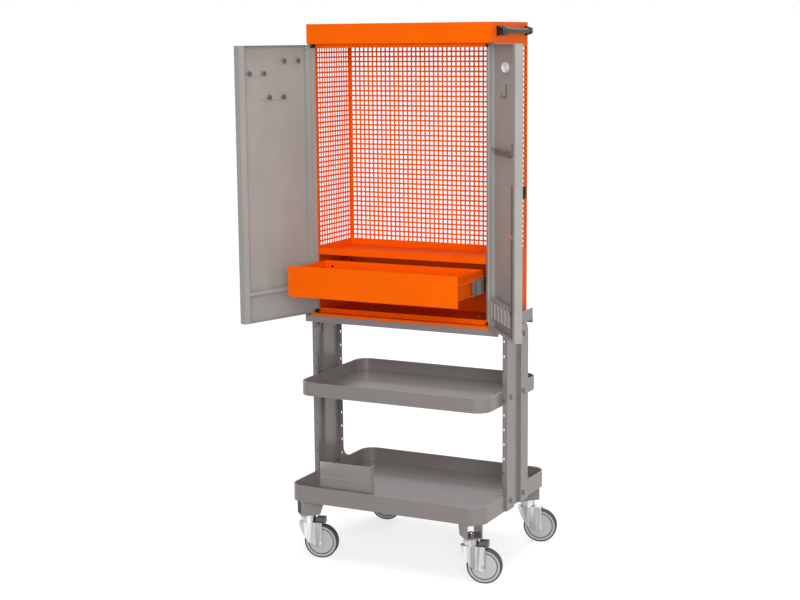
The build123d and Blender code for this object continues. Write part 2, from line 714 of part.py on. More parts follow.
def make_hinge_pins(side):
    """Upper and lower hinge pin, each headed inside the door."""
    with BuildPart() as pins:
        for z, up in ((DOOR_TOP, 1), (DOOR_BOTTOM, -1)):
            head = z - up * (SHEET + PIN_HEAD)
            rod((side * PIN_X, PIN_Y, head), PIN_HEAD_RADIUS, PIN_HEAD, (0, 0, up))
            rod(
                (side * PIN_X, PIN_Y, head),
                PIN_RADIUS,
                PIN_HEAD + SHEET + HINGE_GAP + PIN_GRIP,
                (0, 0, up),
            )
    return pins


def peg(plane, side, s, z):
    """A round peg that stands out from a door's sheet, through the plate that holds it."""
    length = HOOK_REACH + PLATE
    rod(door_point(plane, side, s, SHEET, z), HOOK_RADIUS, length, tuple(door_inward(plane, side)))
    return SHEET + length


def button_hook(plane, side, s, z):
    """A peg with a round button at its end."""
    end = peg(plane, side, s, z)
    place = door_point(plane, side, s, end - BUTTON, z)
    rod(place, BUTTON_RADIUS, BUTTON, tuple(door_inward(plane, side)))


def bent_hook(plane, side, s, z):
    """A peg that turns up at its end."""
    end = peg(plane, side, s, z)
    tip = door_point(plane, side, s, end - HOOK_RADIUS, z)
    rod(tip, HOOK_TIP_RADIUS, HOOK_RISE)


door_left = make_door(LEFT, -1)
door_left.part.label = "door_left"
export_step(door_left.part, "parts/door_left.step")
door_right_pan = make_door(RIGHT, 1)
# the right door also has the spindle's hole and the slots that the lock's rods pass
lock_s = DOOR_WIDTH - LOCK_INSET
lock_z = DOOR_BOTTOM + LOCK_RISE
with BuildPart() as door_right:
    add(door_right_pan.part)
    rod(
        door_point(RIGHT, 1, lock_s, -OVERRUN, lock_z),
        SPINDLE_RADIUS + RUNNING_GAP,
        SHEET + 2 * OVERRUN,
        tuple(door_inward(RIGHT, 1)),
        Mode.SUBTRACT,
    )
with BuildPart(RIGHT) as rod_slots:
    for s, z in ((lock_s + CRANK, DOOR_TOP - SHEET), (lock_s - CRANK, DOOR_BOTTOM)):
        door_slab(
            1,
            (s - ROD_WIDTH / 2 - ROD_GAP, s + ROD_WIDTH / 2 + ROD_GAP),
            (ROD_DEPTH - ROD_GAP, ROD_DEPTH + ROD + ROD_GAP),
            (z - OVERRUN, z + SHEET + OVERRUN),
        )
with BuildPart() as door_right_cut:
    add(door_right.part)
    add(rod_slots.part, mode=Mode.SUBTRACT)
door_right_cut.part.label = "door_right"
export_step(door_right_cut.part, "parts/door_right.step")

stiffener_left = make_stiffener(LEFT, -1)
stiffener_left.part.label = "stiffener_left"
export_step(stiffener_left.part, "parts/stiffener_left.step")
stiffener_right = make_stiffener(RIGHT, 1)
stiffener_right.part.label = "stiffener_right"
export_step(stiffener_right.part, "parts/stiffener_right.step")
hinge_pins_left = make_hinge_pins(-1)
hinge_pins_left.part.label = "hinge_pins_left"
export_step(hinge_pins_left.part, "parts/hinge_pins_left.step")
hinge_pins_right = make_hinge_pins(1)
hinge_pins_right.part.label = "hinge_pins_right"
export_step(hinge_pins_right.part, "parts/hinge_pins_right.step")

# Three hook strips in the left door
with BuildPart(LEFT) as hook_plates:
    for shares in HOOK_STRIP_SHARES:
        s, z = door_place(shares)
        door_slab(
            -1,
            (s - HOOK_STRIP / 2, s + HOOK_STRIP / 2),
            (SHEET, SHEET + PLATE),
            (z - HOOK_STRIP_HEIGHT / 2, z + HOOK_STRIP_HEIGHT / 2),
        )
with BuildPart() as hook_strips:
    add(hook_plates.part)
    for shares in HOOK_STRIP_SHARES:
        s, z = door_place(shares)
        for end in SIDES:
            button_hook(LEFT, -1, s + end * HOOK_SPAN / 2, z)
hook_strips.part.label = "hook_strips"
export_step(hook_strips.part, "parts/hook_strips.step")

# Tool rail low in the left door: an angle with its foot turned in
with BuildPart(LEFT) as tool_rail:
    s, z = door_place(TOOL_RAIL_SHARES)
    span = (s - TOOL_RAIL / 2, s + TOOL_RAIL / 2)
    rail_z = (z - TOOL_RAIL_HEIGHT / 2, z + TOOL_RAIL_HEIGHT / 2)
    door_slab(-1, span, (SHEET, SHEET + PLATE), rail_z)
    door_slab(-1, span, (SHEET, SHEET + TOOL_RAIL_REACH), (rail_z[0], rail_z[0] + PLATE))
    door_slab(
        -1,
        span,
        (SHEET + TOOL_RAIL_REACH - PLATE, SHEET + TOOL_RAIL_REACH),
        (rail_z[0], rail_z[0] + TOOL_RAIL_HEIGHT / 2),
    )
tool_rail.part.label = "tool_rail"
export_step(tool_rail.part, "parts/tool_rail.step")

# Right door: an oval dished pad and two single hooks
oval_s, oval_z = door_place(OVAL_SHARES)
oval_plane = Plane(
    origin=door_point(RIGHT, 1, oval_s, SHEET, oval_z),
    x_dir=(0, 0, 1),
    z_dir=tuple(door_inward(RIGHT, 1)),
)
with BuildPart() as oval_pad:
    with BuildSketch(oval_plane):
        Ellipse(OVAL_HEIGHT / 2, OVAL_WIDTH / 2)
    extrude(amount=OVAL_DEPTH)
    with BuildSketch(oval_plane.offset(OVAL_DEPTH)):
        Ellipse(OVAL_HEIGHT / 2 - OVAL_RIM, OVAL_WIDTH / 2 - OVAL_RIM)
    extrude(amount=-OVAL_RIM, mode=Mode.SUBTRACT)
oval_pad.part.label = "oval_pad"
export_step(oval_pad.part, "parts/oval_pad.step")

with BuildPart(RIGHT) as single_hook_plates:
    for shares in SINGLE_HOOK_SHARES:
        s, z = door_place(shares)
        door_slab(
            1,
            (s - SINGLE_HOOK_WIDTH / 2, s + SINGLE_HOOK_WIDTH / 2),
            (SHEET, SHEET + PLATE),
            (z - HOOK_RADIUS, z + SINGLE_HOOK_HEIGHT),
        )
with BuildPart() as single_hooks:
    add(single_hook_plates.part)
    for shares in SINGLE_HOOK_SHARES:
        s, z = door_place(shares)
        bent_hook(RIGHT, 1, s, z)
single_hooks.part.label = "single_hooks"
export_step(single_hooks.part, "parts/single_hooks.step")

with BuildPart(RIGHT) as door_ledge:
    s, z = door_place(LEDGE_SHARES)
    span = (s - LEDGE / 2, s + LEDGE / 2)
    door_slab(1, span, (SHEET, SHEET + PLATE), (z - LEDGE_HEIGHT, z))
    door_slab(1, span, (SHEET, SHEET + LEDGE_REACH), (z - PLATE, z))
door_ledge.part.label = "door_ledge"
export_step(door_ledge.part, "parts/door_ledge.step")

# Tool holder low in the right door: a ribbed, slotted front carried off the sheet
holder_s = (HINGE_LIP + STIFFENER + FIT, HINGE_LIP + STIFFENER + FIT + HOLDER)
holder_z = (DOOR_BOTTOM + HOLDER_RISE, DOOR_BOTTOM + HOLDER_RISE + HOLDER_HEIGHT)
holder_d = (SHEET, SHEET + HOLDER_REACH - HOLDER_RIB_RADIUS)
holder_step = HOLDER / HOLDER_RIBS
rib_places = [holder_s[0] + holder_step * (i + 0.5) for i in range(HOLDER_RIBS)]
with BuildPart(RIGHT) as holder_box:
    door_slab(1, holder_s, (holder_d[1] - PLATE, holder_d[1]), holder_z)
    door_slab(1, holder_s, holder_d, (holder_z[0], holder_z[0] + PLATE))
    for s in holder_s:
        inner = s + PLATE if s == holder_s[0] else s - PLATE
        door_slab(1, sorted((s, inner)), holder_d, holder_z)
with BuildPart(RIGHT) as holder_slots:
    for s in rib_places:
        door_slab(
            1,
            (s - HOLDER_SLOT / 2, s + HOLDER_SLOT / 2),
            (holder_d[1] - PLATE - OVERRUN, holder_d[1] + HOLDER_RIB_RADIUS + OVERRUN),
            (holder_z[1] - HOLDER_SLOT_DEPTH, holder_z[1] + OVERRUN),
        )
with BuildPart() as tool_holder:
    add(holder_box.part)
    for s in rib_places:
        rod(
            door_point(RIGHT, 1, s, holder_d[1], holder_z[0]),
            HOLDER_RIB_RADIUS,
            HOLDER_HEIGHT,
        )
    add(holder_slots.part, mode=Mode.SUBTRACT)
tool_holder.part.label = "tool_holder"
export_step(tool_holder.part, "parts/tool_holder.step")

# Lock: handle and spindle outside, cam and nut inside, two rods and their guides
inward = tuple(door_inward(RIGHT, 1))
outward = tuple(door_inward(RIGHT, 1) * -1)
with BuildPart() as handle_grip:
    with BuildSketch(
        Plane(
            origin=door_point(RIGHT, 1, lock_s, -FIT - ROSETTE, lock_z),
            x_dir=(0, 0, 1),
            z_dir=outward,
        )
    ):
        SlotOverall(GRIP_LENGTH, GRIP_WIDTH)
    extrude(amount=GRIP)
with BuildPart() as lock_handle:
    add(handle_grip.part)
    rod(door_point(RIGHT, 1, lock_s, -FIT, lock_z), ROSETTE_RADIUS, ROSETTE, outward)
    spindle = FIT + CAM_DEPTH + CAM + NUT + FIT
    rod(door_point(RIGHT, 1, lock_s, -FIT, lock_z), SPINDLE_RADIUS, spindle, inward)
lock_handle.part.label = "lock_handle"
export_step(lock_handle.part, "parts/lock_handle.step")

half_turn = math.radians(CRANK_TURN / 2)
crank_s = CRANK * math.cos(half_turn)
crank_z = CRANK * math.sin(half_turn)
with BuildPart() as lock_cam:
    rod(door_point(RIGHT, 1, lock_s, CAM_DEPTH, lock_z), CAM_RADIUS, CAM, inward)
    hexagon(door_point(RIGHT, 1, lock_s, CAM_DEPTH + CAM, lock_z), NUT_WIDTH, NUT, inward)
    for side in SIDES:
        rod(
            door_point(RIGHT, 1, lock_s + side * crank_s, CAM_DEPTH + CAM, lock_z - side * crank_z),
            CRANK_PIN_RADIUS,
            ROD_DEPTH + ROD - CAM_DEPTH - CAM,
            inward,
        )
    rod(
        door_point(RIGHT, 1, lock_s, CAM_DEPTH - OVERRUN, lock_z),
        SPINDLE_RADIUS + FLUSH_GAP,
        CAM + NUT + 2 * OVERRUN,
        inward,
        Mode.SUBTRACT,
    )
lock_cam.part.label = "lock_cam"
export_step(lock_cam.part, "parts/lock_cam.step")


def make_lock_rod(up):
    """A flat rod from the cam to the door's edge; up is 1 for the upper, -1 for the lower."""
    s = lock_s + up * CRANK
    pin_z = lock_z - up * crank_z
    tip = DOOR_TOP - UPPER_ROD_SHORT if up > 0 else DOOR_BOTTOM + LOWER_ROD_SHORT
    d = (ROD_DEPTH, ROD_DEPTH + ROD)
    slot = CRANK_PIN_RADIUS + CRANK_SLOT_GAP
    near = lock_s + up * (crank_s - slot)
    far = lock_s + up * (CRANK + slot)
    wall = ROD_WIDTH / 4
    with BuildPart(RIGHT) as bar:
        door_slab(1, (s - ROD_WIDTH / 2, s + ROD_WIDTH / 2), d, sorted((pin_z, tip)))
        foot = (pin_z - ROD_FOOT / 2, pin_z + ROD_FOOT / 2)
        door_slab(1, sorted((near - up * wall, far + up * wall)), d, foot)
        door_slab(
            1,
            sorted((near, far)),
            (d[0] - OVERRUN, d[1] + OVERRUN),
            (pin_z - slot, pin_z + slot),
            Mode.SUBTRACT,
        )
    return bar


rod_upper = make_lock_rod(1)
rod_upper.part.label = "rod_upper"
export_step(rod_upper.part, "parts/rod_upper.step")
rod_lower = make_lock_rod(-1)
rod_lower.part.label = "rod_lower"
export_step(rod_lower.part, "parts/rod_lower.step")

with BuildPart(RIGHT) as rod_guides:
    for up in SIDES:
        s = lock_s + up * CRANK
        end = DOOR_TOP if up > 0 else DOOR_BOTTOM
        for share in GUIDE_SHARES:
            z = lock_z + (end - lock_z) * share
            level = (z - GUIDE_HEIGHT / 2, z + GUIDE_HEIGHT / 2)
            reach = ROD_WIDTH / 2 + ROD_GAP
            door_slab(
                1,
                (s - reach - GUIDE_WALL, s + reach + GUIDE_WALL),
                (SHEET, ROD_DEPTH + ROD + ROD_GAP + PLATE),
                level,
            )
            door_slab(
                1,
                (s - reach, s + reach),
                (ROD_DEPTH - ROD_GAP, ROD_DEPTH + ROD + ROD_GAP),
                level,
                Mode.SUBTRACT,
            )
rod_guides.part.label = "rod_guides"
export_step(rod_guides.part, "parts/rod_guides.step")

# Carrying handle on the right side
handle_z = HEIGHT - HANDLE_DROP
handle_y = (FRONT + HANDLE_FRONT_INSET, FRONT + HANDLE_FRONT_INSET + HANDLE_SPAN)
bar_x = HALF + HANDLE_BAR_OFFSET
bar_y = (handle_y[0] - HANDLE_END_WIDTH / 4, handle_y[1] + HANDLE_END_WIDTH / 4)
with BuildPart() as handle_bar:
    rod((bar_x, bar_y[0], handle_z), HANDLE_BAR_RADIUS, bar_y[1] - bar_y[0], (0, 1, 0))
handle_bar.part.label = "handle_bar"
export_step(handle_bar.part, "parts/handle_bar.step")

with BuildPart() as handle_ends:
    for y in handle_y:
        foot_plane = Plane(
            origin=(HALF, y + HANDLE_END_WIDTH / 2, handle_z), x_dir=(1, 0, 0), z_dir=(0, -1, 0)
        )
        with BuildSketch(foot_plane):
            with BuildLine():
                Polyline(
                    (0, -HANDLE_END_HEIGHT / 2),
                    (HANDLE_REACH, -HANDLE_TIP_HEIGHT / 2),
                    (HANDLE_REACH, HANDLE_TIP_HEIGHT / 2),
                    (0, HANDLE_END_HEIGHT / 2),
                    close=True,
                )
            make_face()
        extrude(amount=HANDLE_END_WIDTH)
    outer_edges = handle_ends.edges().filter_by(Axis.Y).group_by(Axis.X)[-1]
    fillet(outer_edges, HANDLE_FILLET)
    rod(
        (bar_x, bar_y[0], handle_z),
        HANDLE_BAR_RADIUS + FLUSH_GAP,
        bar_y[1] - bar_y[0],
        (0, 1, 0),
        Mode.SUBTRACT,
    )
handle_ends.part.label = "handle_ends"
export_step(handle_ends.part, "parts/handle_ends.step")

# Trolley: the frame that the cabinet is bolted to
frame_half = FRAME_WIDTH / 2
with BuildPart() as top_frame:
    slab((-frame_half, frame_half), (FRONT, BACK), (BASE_Z - FRAME_SHEET, BASE_Z))
    for y in ((FRONT, FRONT + FRAME_SHEET), (BACK - FRAME_SHEET, BACK)):
        slab((-frame_half, frame_half), y, (BASE_Z - FRAME_BAND, BASE_Z))
    for side in SIDES:
        slab(
            mirrored(side, frame_half - FRAME_SHEET, frame_half),
            (FRONT, BACK),
            (BASE_Z - FRAME_SIDE_DROP, BASE_Z + FRAME_SIDE_RISE),
        )
        for y in SIDES:
            rod(
                (side * BASE_BOLT_X, y * BASE_BOLT_Y, BASE_Z - FRAME_SHEET - OVERRUN),
                BOLT_RADIUS + FLUSH_GAP,
                FRAME_SHEET + 2 * OVERRUN,
                mode=Mode.SUBTRACT,
            )
top_frame.part.label = "top_frame"
export_step(top_frame.part, "parts/top_frame.step")


def slot_heights():
    """Heights of the slots' middles along a column."""
    first = COLUMN_FOOT + COLUMN_SLOT_RISE
    count = int((COLUMN_TOP - COLUMN_SLOT_RISE - first) / COLUMN_SLOT_PITCH) + 1
    return [first + COLUMN_SLOT_PITCH * i for i in range(count)]


def make_column(side):
    """A channel column: grooved web outwards, slotted flanges inwards."""
    half = COLUMN_DEPTH / 2
    height = COLUMN_TOP - COLUMN_FOOT
    groove = GROOVE_WIDTH / 2
    recess = COLUMN_X - GROOVE_DEPTH
    z = (COLUMN_FOOT, COLUMN_TOP)
    with BuildPart() as column:
        for end in SIDES:
            slab(mirrored(side, WEB_INNER, COLUMN_X), mirrored(end, groove, half), z)
            slab(
                mirrored(side, recess - COLUMN_SHEET, COLUMN_X),
                mirrored(end, groove, groove + COLUMN_SHEET),
                z,
            )
            slab(
                mirrored(side, COLUMN_TIP, COLUMN_X), mirrored(end, half - COLUMN_SHEET, half), z
            )
        slab(mirrored(side, recess - COLUMN_SHEET, recess), (-groove, groove), z)
        slot_x = COLUMN_TIP + COLUMN_SLOT_EDGE
        for end in SIDES:
            for slot_z in slot_heights():
                slab(
                    mirrored(side, slot_x - COLUMN_SLOT_WIDTH / 2, slot_x + COLUMN_SLOT_WIDTH / 2),
                    mirrored(end, half - COLUMN_SHEET - OVERRUN, half + OVERRUN),
                    (slot_z - COLUMN_SLOT / 2, slot_z + COLUMN_SLOT / 2),
                    Mode.SUBTRACT,
                )
        # the rear top corner is cut off below the frame
        with BuildSketch(Plane(origin=(0, half, COLUMN_TOP), x_dir=(0, 1, 0), z_dir=(1, 0, 0))):
            with BuildLine():
                Polyline(
                    (-COLUMN_CHAMFER_WIDTH, OVERRUN),
                    (OVERRUN, OVERRUN),
                    (OVERRUN, -COLUMN_CHAMFER_HEIGHT),
                    (0, -COLUMN_CHAMFER_HEIGHT),
                    (-COLUMN_CHAMFER_WIDTH, 0),
                    close=True,
                )
            make_face()
        extrude(amount=side * COLUMN_SPREAD, mode=Mode.SUBTRACT)
        for y in bolt_rows():
            for level in bolt_levels():
                rod(
                    (side * (WEB_INNER - OVERRUN), y, level),
                    BOLT_RADIUS + FLUSH_GAP,
                    COLUMN_SHEET + 2 * OVERRUN,
                    (side, 0, 0),
                    Mode.SUBTRACT,
                )
    return column


def bolt_rows():
    """Front and rear places of the bolts through the columns' webs."""
    middle = GROOVE_WIDTH / 2 + SPACER_MARGIN + SPACER_WIDTH / 2
    return (-middle, middle)


def bolt_levels():
    """Heights of the bolts through the columns' webs: bottom tray, middle tray and frame."""
    return (
        BOTTOM_TRAY_RIM - BOTTOM_TRAY_WALL / 2,
        MID_TRAY_RIM - MID_TRAY_WALL / 2,
        COLUMN_TOP - HEAD_DROP / 2,
    )


column_left = make_column(-1)
column_left.part.label = "column_left"
export_step(column_left.part, "parts/column_left.step")
column_right = make_column(1)
column_right.part.label = "column_right"
export_step(column_right.part, "parts/column_right.step")

# Column heads: angles inside the columns that carry the frame on a ribbed foot
with BuildPart() as column_heads:
    for side in SIDES:
        for row in bolt_rows():
            y = (row - SPACER_WIDTH / 2, row + SPACER_WIDTH / 2)
            slab(
                mirrored(side, WEB_INNER - FRAME_SHEET, WEB_INNER),
                y,
                (COLUMN_TOP - HEAD_DROP, COLUMN_TOP),
            )
            slab(
                mirrored(side, WEB_INNER - FRAME_SHEET - HEAD_REACH, WEB_INNER),
                y,
                (COLUMN_TOP - FRAME_SHEET, COLUMN_TOP),
            )
            slab(
                mirrored(
                    side, WEB_INNER - FRAME_SHEET - HEAD_REACH, frame_half - FRAME_SHEET - FIT
                ),
                (row - FRAME_SHEET, row + FRAME_SHEET),
                (COLUMN_TOP - FRAME_SHEET, BASE_Z - FRAME_SHEET),
            )
            rod(
                (side * (WEB_INNER - FRAME_SHEET - OVERRUN), row, bolt_levels()[2]),
                BOLT_RADIUS + FLUSH_GAP,
                FRAME_SHEET + 2 * OVERRUN,
                (side, 0, 0),
                Mode.SUBTRACT,
            )
column_heads.part.label = "column_heads"
export_step(column_heads.part, "parts/column_heads.step")


def tray_outline(z, width, depth, inset, notch=0):
    """A tray's outline at a height, drawn in by an inset, with a notch for each column."""
    with BuildSketch(Plane.XY.offset(z)) as outline:
        RectangleRounded(width - 2 * inset, depth - 2 * inset, TRAY_RADIUS - inset)
        if notch:
            for side in SIDES:
                with Locations((side * width / 2, 0)):
                    Rectangle(
                        2 * (notch + inset), NOTCH_LENGTH + 2 * inset, mode=Mode.SUBTRACT
                    )
    return outline.sketch


def make_tray(width, depth, rim, wall, notch=0):
    """A pressed tray: floor, upright wall and a hem folded in along the rim."""
    floor = rim - wall
    with BuildPart() as tray:
        extrude(tray_outline(floor, width, depth, 0, notch), amount=wall)
        inner = tray_outline(floor + TRAY_SHEET, width, depth, TRAY_SHEET, notch)
        extrude(inner, amount=wall - TRAY_SHEET - TRAY_HEM, mode=Mode.SUBTRACT)
        mouth = tray_outline(rim - TRAY_HEM, width, depth, 2 * TRAY_SHEET, notch)
        extrude(mouth, amount=TRAY_HEM, mode=Mode.SUBTRACT)
        wall_x = width / 2 - notch
        for side in SIDES:
            for y in bolt_rows():
                rod(
                    (side * (wall_x - TRAY_SHEET - OVERRUN), y, rim - wall / 2),
                    BOLT_RADIUS + FLUSH_GAP,
                    TRAY_SHEET + 2 * OVERRUN,
                    (side, 0, 0),
                    Mode.SUBTRACT,
                )
    return tray


mid_tray = make_tray(MID_TRAY_WIDTH, MID_TRAY_DEPTH, MID_TRAY_RIM, MID_TRAY_WALL)
mid_tray.part.label = "mid_tray"
export_step(mid_tray.part, "parts/mid_tray.step")
bottom_tray = make_tray(
    BOTTOM_TRAY_WIDTH, BOTTOM_TRAY_DEPTH, BOTTOM_TRAY_RIM, BOTTOM_TRAY_WALL, NOTCH_DEPTH
)
bottom_tray.part.label = "bottom_tray"
export_step(bottom_tray.part, "parts/bottom_tray.step")

# Spacer brackets between the trays' ends and the columns' webs
tray_rows = (
    (MID_TRAY_RIM, MID_TRAY_WALL, MID_TRAY_WIDTH / 2),
    (BOTTOM_TRAY_RIM, BOTTOM_TRAY_WALL, BOTTOM_TRAY_WIDTH / 2 - NOTCH_DEPTH),
)
with BuildPart() as tray_brackets:
    for rim, wall, end_x in tray_rows:
        for side in SIDES:
            for row in bolt_rows():
                y = (row - SPACER_WIDTH / 2, row + SPACER_WIDTH / 2)
                z = (rim - wall + SPACER_MARGIN, rim - SPACER_MARGIN)
                slab(mirrored(side, end_x, WEB_INNER), y, z)
                slab(
                    mirrored(side, end_x + COLUMN_SHEET, WEB_INNER - COLUMN_SHEET),
                    y,
                    (z[0] - OVERRUN, z[1] + OVERRUN),
                    Mode.SUBTRACT,
                )
                slab(
                    mirrored(side, end_x, WEB_INNER),
                    (y[0], y[0] + COLUMN_SHEET),
                    z,
                )
                slab(
                    mirrored(side, end_x, WEB_INNER),
                    (y[1] - COLUMN_SHEET, y[1]),
                    z,
                )
                rod(
                    (side * (end_x - OVERRUN), row, rim - wall / 2),
                    BOLT_RADIUS + FLUSH_GAP,
                    WEB_INNER - end_x + 2 * OVERRUN,
                    (side, 0, 0),
                    Mode.SUBTRACT,
                )
tray_brackets.part.label = "tray_brackets"
export_step(tray_brackets.part, "parts/tray_brackets.step")

# Gussets behind the columns' feet, with a hollow upper edge
gusset_x = BOTTOM_TRAY_WIDTH / 2 - TRAY_SHEET
rear = COLUMN_DEPTH / 2
notch_side = NOTCH_GAP + 2 * TRAY_SHEET  # rear face of the notch's hem behind the column
with BuildPart() as column_gussets:
    for side in SIDES:
        plane = Plane(
            origin=(side * (gusset_x - 2 * TRAY_SHEET), rear, BOTTOM_TRAY_RIM),
            x_dir=(0, 1, 0),
            z_dir=(1, 0, 0),
        )
        with BuildSketch(plane) as gusset:
            with BuildLine():
                edge = Polyline(
                    (GUSSET_REACH, GUSSET_EDGE),
                    (GUSSET_REACH, -GUSSET_TAIL),
                    (notch_side, -GUSSET_TAIL),
                    (notch_side, FIT),
                    (0, FIT),
                    (0, GUSSET_HEIGHT),
                    (GUSSET_EDGE, GUSSET_HEIGHT),
                )
                RadiusArc(edge @ 1, edge @ 0, -GUSSET_HEIGHT)
            make_face()
        extrude(gusset.sketch, amount=side * TRAY_SHEET)
column_gussets.part.label = "column_gussets"
export_step(column_gussets.part, "parts/column_gussets.step")

# Divider plate that stands in the bottom tray beside the left column
divider_y = -COLUMN_DEPTH / 2 - NOTCH_GAP - TRAY_SHEET
divider_x = -(BOTTOM_TRAY_WIDTH / 2 - NOTCH_DEPTH - 2 * TRAY_SHEET - FIT)
divider_z = (COLUMN_FOOT + TRAY_SHEET, BOTTOM_TRAY_RIM + DIVIDER_RISE)
divider_end = divider_x + DIVIDER_LENGTH
with BuildPart() as tray_divider:
    slab((divider_x, divider_end), (divider_y, divider_y + TRAY_SHEET), divider_z)
    slab(
        (divider_end - TRAY_SHEET, divider_end),
        (divider_y, divider_y + DIVIDER_FLANGE),
        divider_z,
    )
    slab(
        (divider_x, divider_end),
        (divider_y, divider_y + DIVIDER_FLANGE),
        (divider_z[0], divider_z[0] + TRAY_SHEET),
    )
    rod(
        (divider_x, divider_y, divider_z[0] + DIVIDER_BEAD),
        DIVIDER_BEAD_RADIUS,
        DIVIDER_LENGTH,
        (1, 0, 0),
    )
tray_divider.part.label = "tray_divider"
export_step(tray_divider.part, "parts/tray_divider.step")

# Bolts: cabinet to frame, and columns to trays and heads
with BuildPart() as base_bolts:
    for side in SIDES:
        for y in SIDES:
            place = (side * BASE_BOLT_X, y * BASE_BOLT_Y)
            hexagon((*place, BASE_Z + SHEET), BOLT_HEAD_WIDTH, BOLT_HEAD)
            grip = SHEET + FRAME_SHEET + BOLT_HEAD + OVERRUN
            rod((*place, BASE_Z + SHEET), BOLT_RADIUS, grip, (0, 0, -1))
            hexagon((*place, BASE_Z - FRAME_SHEET), BOLT_HEAD_WIDTH, BOLT_HEAD, (0, 0, -1))
base_bolts.part.label = "base_bolts"
export_step(base_bolts.part, "parts/base_bolts.step")

column_bolt_ends = (
    BOTTOM_TRAY_WIDTH / 2 - NOTCH_DEPTH - TRAY_SHEET,
    MID_TRAY_WIDTH / 2 - TRAY_SHEET,
    WEB_INNER - FRAME_SHEET,
)
with BuildPart() as column_bolts:
    for side in SIDES:
        for y in bolt_rows():
            for z, inner_x in zip(bolt_levels(), column_bolt_ends):
                out = (side, 0, 0)
                back_in = (-side, 0, 0)
                hexagon((side * COLUMN_X, y, z), BOLT_HEAD_WIDTH, BOLT_HEAD, out)
                grip = COLUMN_X - inner_x + BOLT_HEAD + OVERRUN
                rod((side * COLUMN_X, y, z), BOLT_RADIUS, grip, back_in)
                hexagon((side * inner_x, y, z), BOLT_HEAD_WIDTH, BOLT_HEAD, back_in)
column_bolts.part.label = "column_bolts"
export_step(column_bolts.part, "parts/column_bolts.step")

# Casters: hanging brackets at the tray's corners, opening outwards
CORNERS = (
    ("front_left", -1, -1),
    ("front_right", 1, -1),
    ("rear_left", -1, 1),
    ("rear_right", 1, 1),
)


def caster_plane(side, end, turn):
    """A plane on the floor at a caster's stem, its X at an angle to the cabinet's X."""
    x_dir = (math.cos(turn), math.sin(turn), 0)
    return Plane(origin=(side * CASTER_X, end * CASTER_Y, 0), x_dir=x_dir, z_dir=(0, 0, 1))


with BuildPart() as caster_brackets:
    for name, side, end in CORNERS:
        plane = caster_plane(side, end, math.atan2(end, side))
        half = BRACKET_LENGTH / 2
        outside = BRACKET_WIDTH / 2
        upright = Plane(origin=plane.origin, x_dir=plane.x_dir, z_dir=-plane.y_dir)
        with BuildSketch(upright.offset(-outside)) as profile:
            with BuildLine():
                Polyline(
                    (-half, RACE_TOP),
                    (half, RACE_TOP),
                    (half, BRACKET_TOP),
                    (-half - BRACKET_TAPER, BRACKET_TOP),
                    close=True,
                )
            make_face()
        extrude(profile.sketch, amount=BRACKET_WIDTH)
        inner = outside - BRACKET_SHEET
        tunnel = (RACE_TOP + BRACKET_SHEET, BRACKET_TOP - BRACKET_SHEET)
        with BuildSketch(upright.offset(-inner)) as hollow:
            with Locations((0, (tunnel[0] + tunnel[1]) / 2)):
                Rectangle(2 * BRACKET_LENGTH, tunnel[1] - tunnel[0])
        extrude(hollow.sketch, amount=2 * inner, mode=Mode.SUBTRACT)
        rod(
            (side * CASTER_X, end * CASTER_Y, RACE_TOP - OVERRUN),
            STEM_RADIUS + FLUSH_GAP,
            BRACKET_SHEET + 2 * OVERRUN,
            mode=Mode.SUBTRACT,
        )
caster_brackets.part.label = "caster_brackets"
export_step(caster_brackets.part, "parts/caster_brackets.step")

# Fixed upper races, each with its stem, lower head and nut
with BuildPart() as caster_stems:
    for name, side, end in CORNERS:
        place = (side * CASTER_X, end * CASTER_Y)
        head_z = FORK_TOP - FORK_SHEET - FIT - STEM_HEAD
        nut_z = RACE_TOP + BRACKET_SHEET
        rod((*place, RACE_SPLIT), RACE_RADIUS, RACE_TOP - RACE_SPLIT)
        rod((*place, head_z), STEM_HEAD_RADIUS, STEM_HEAD)
        rod((*place, head_z), STEM_RADIUS, nut_z + STEM_NUT + OVERRUN - head_z)
        hexagon((*place, nut_z), STEM_NUT_WIDTH, STEM_NUT)
caster_stems.part.label = "caster_stems"
export_step(caster_stems.part, "parts/caster_stems.step")

TURN = math.radians(CASTER_TURN)


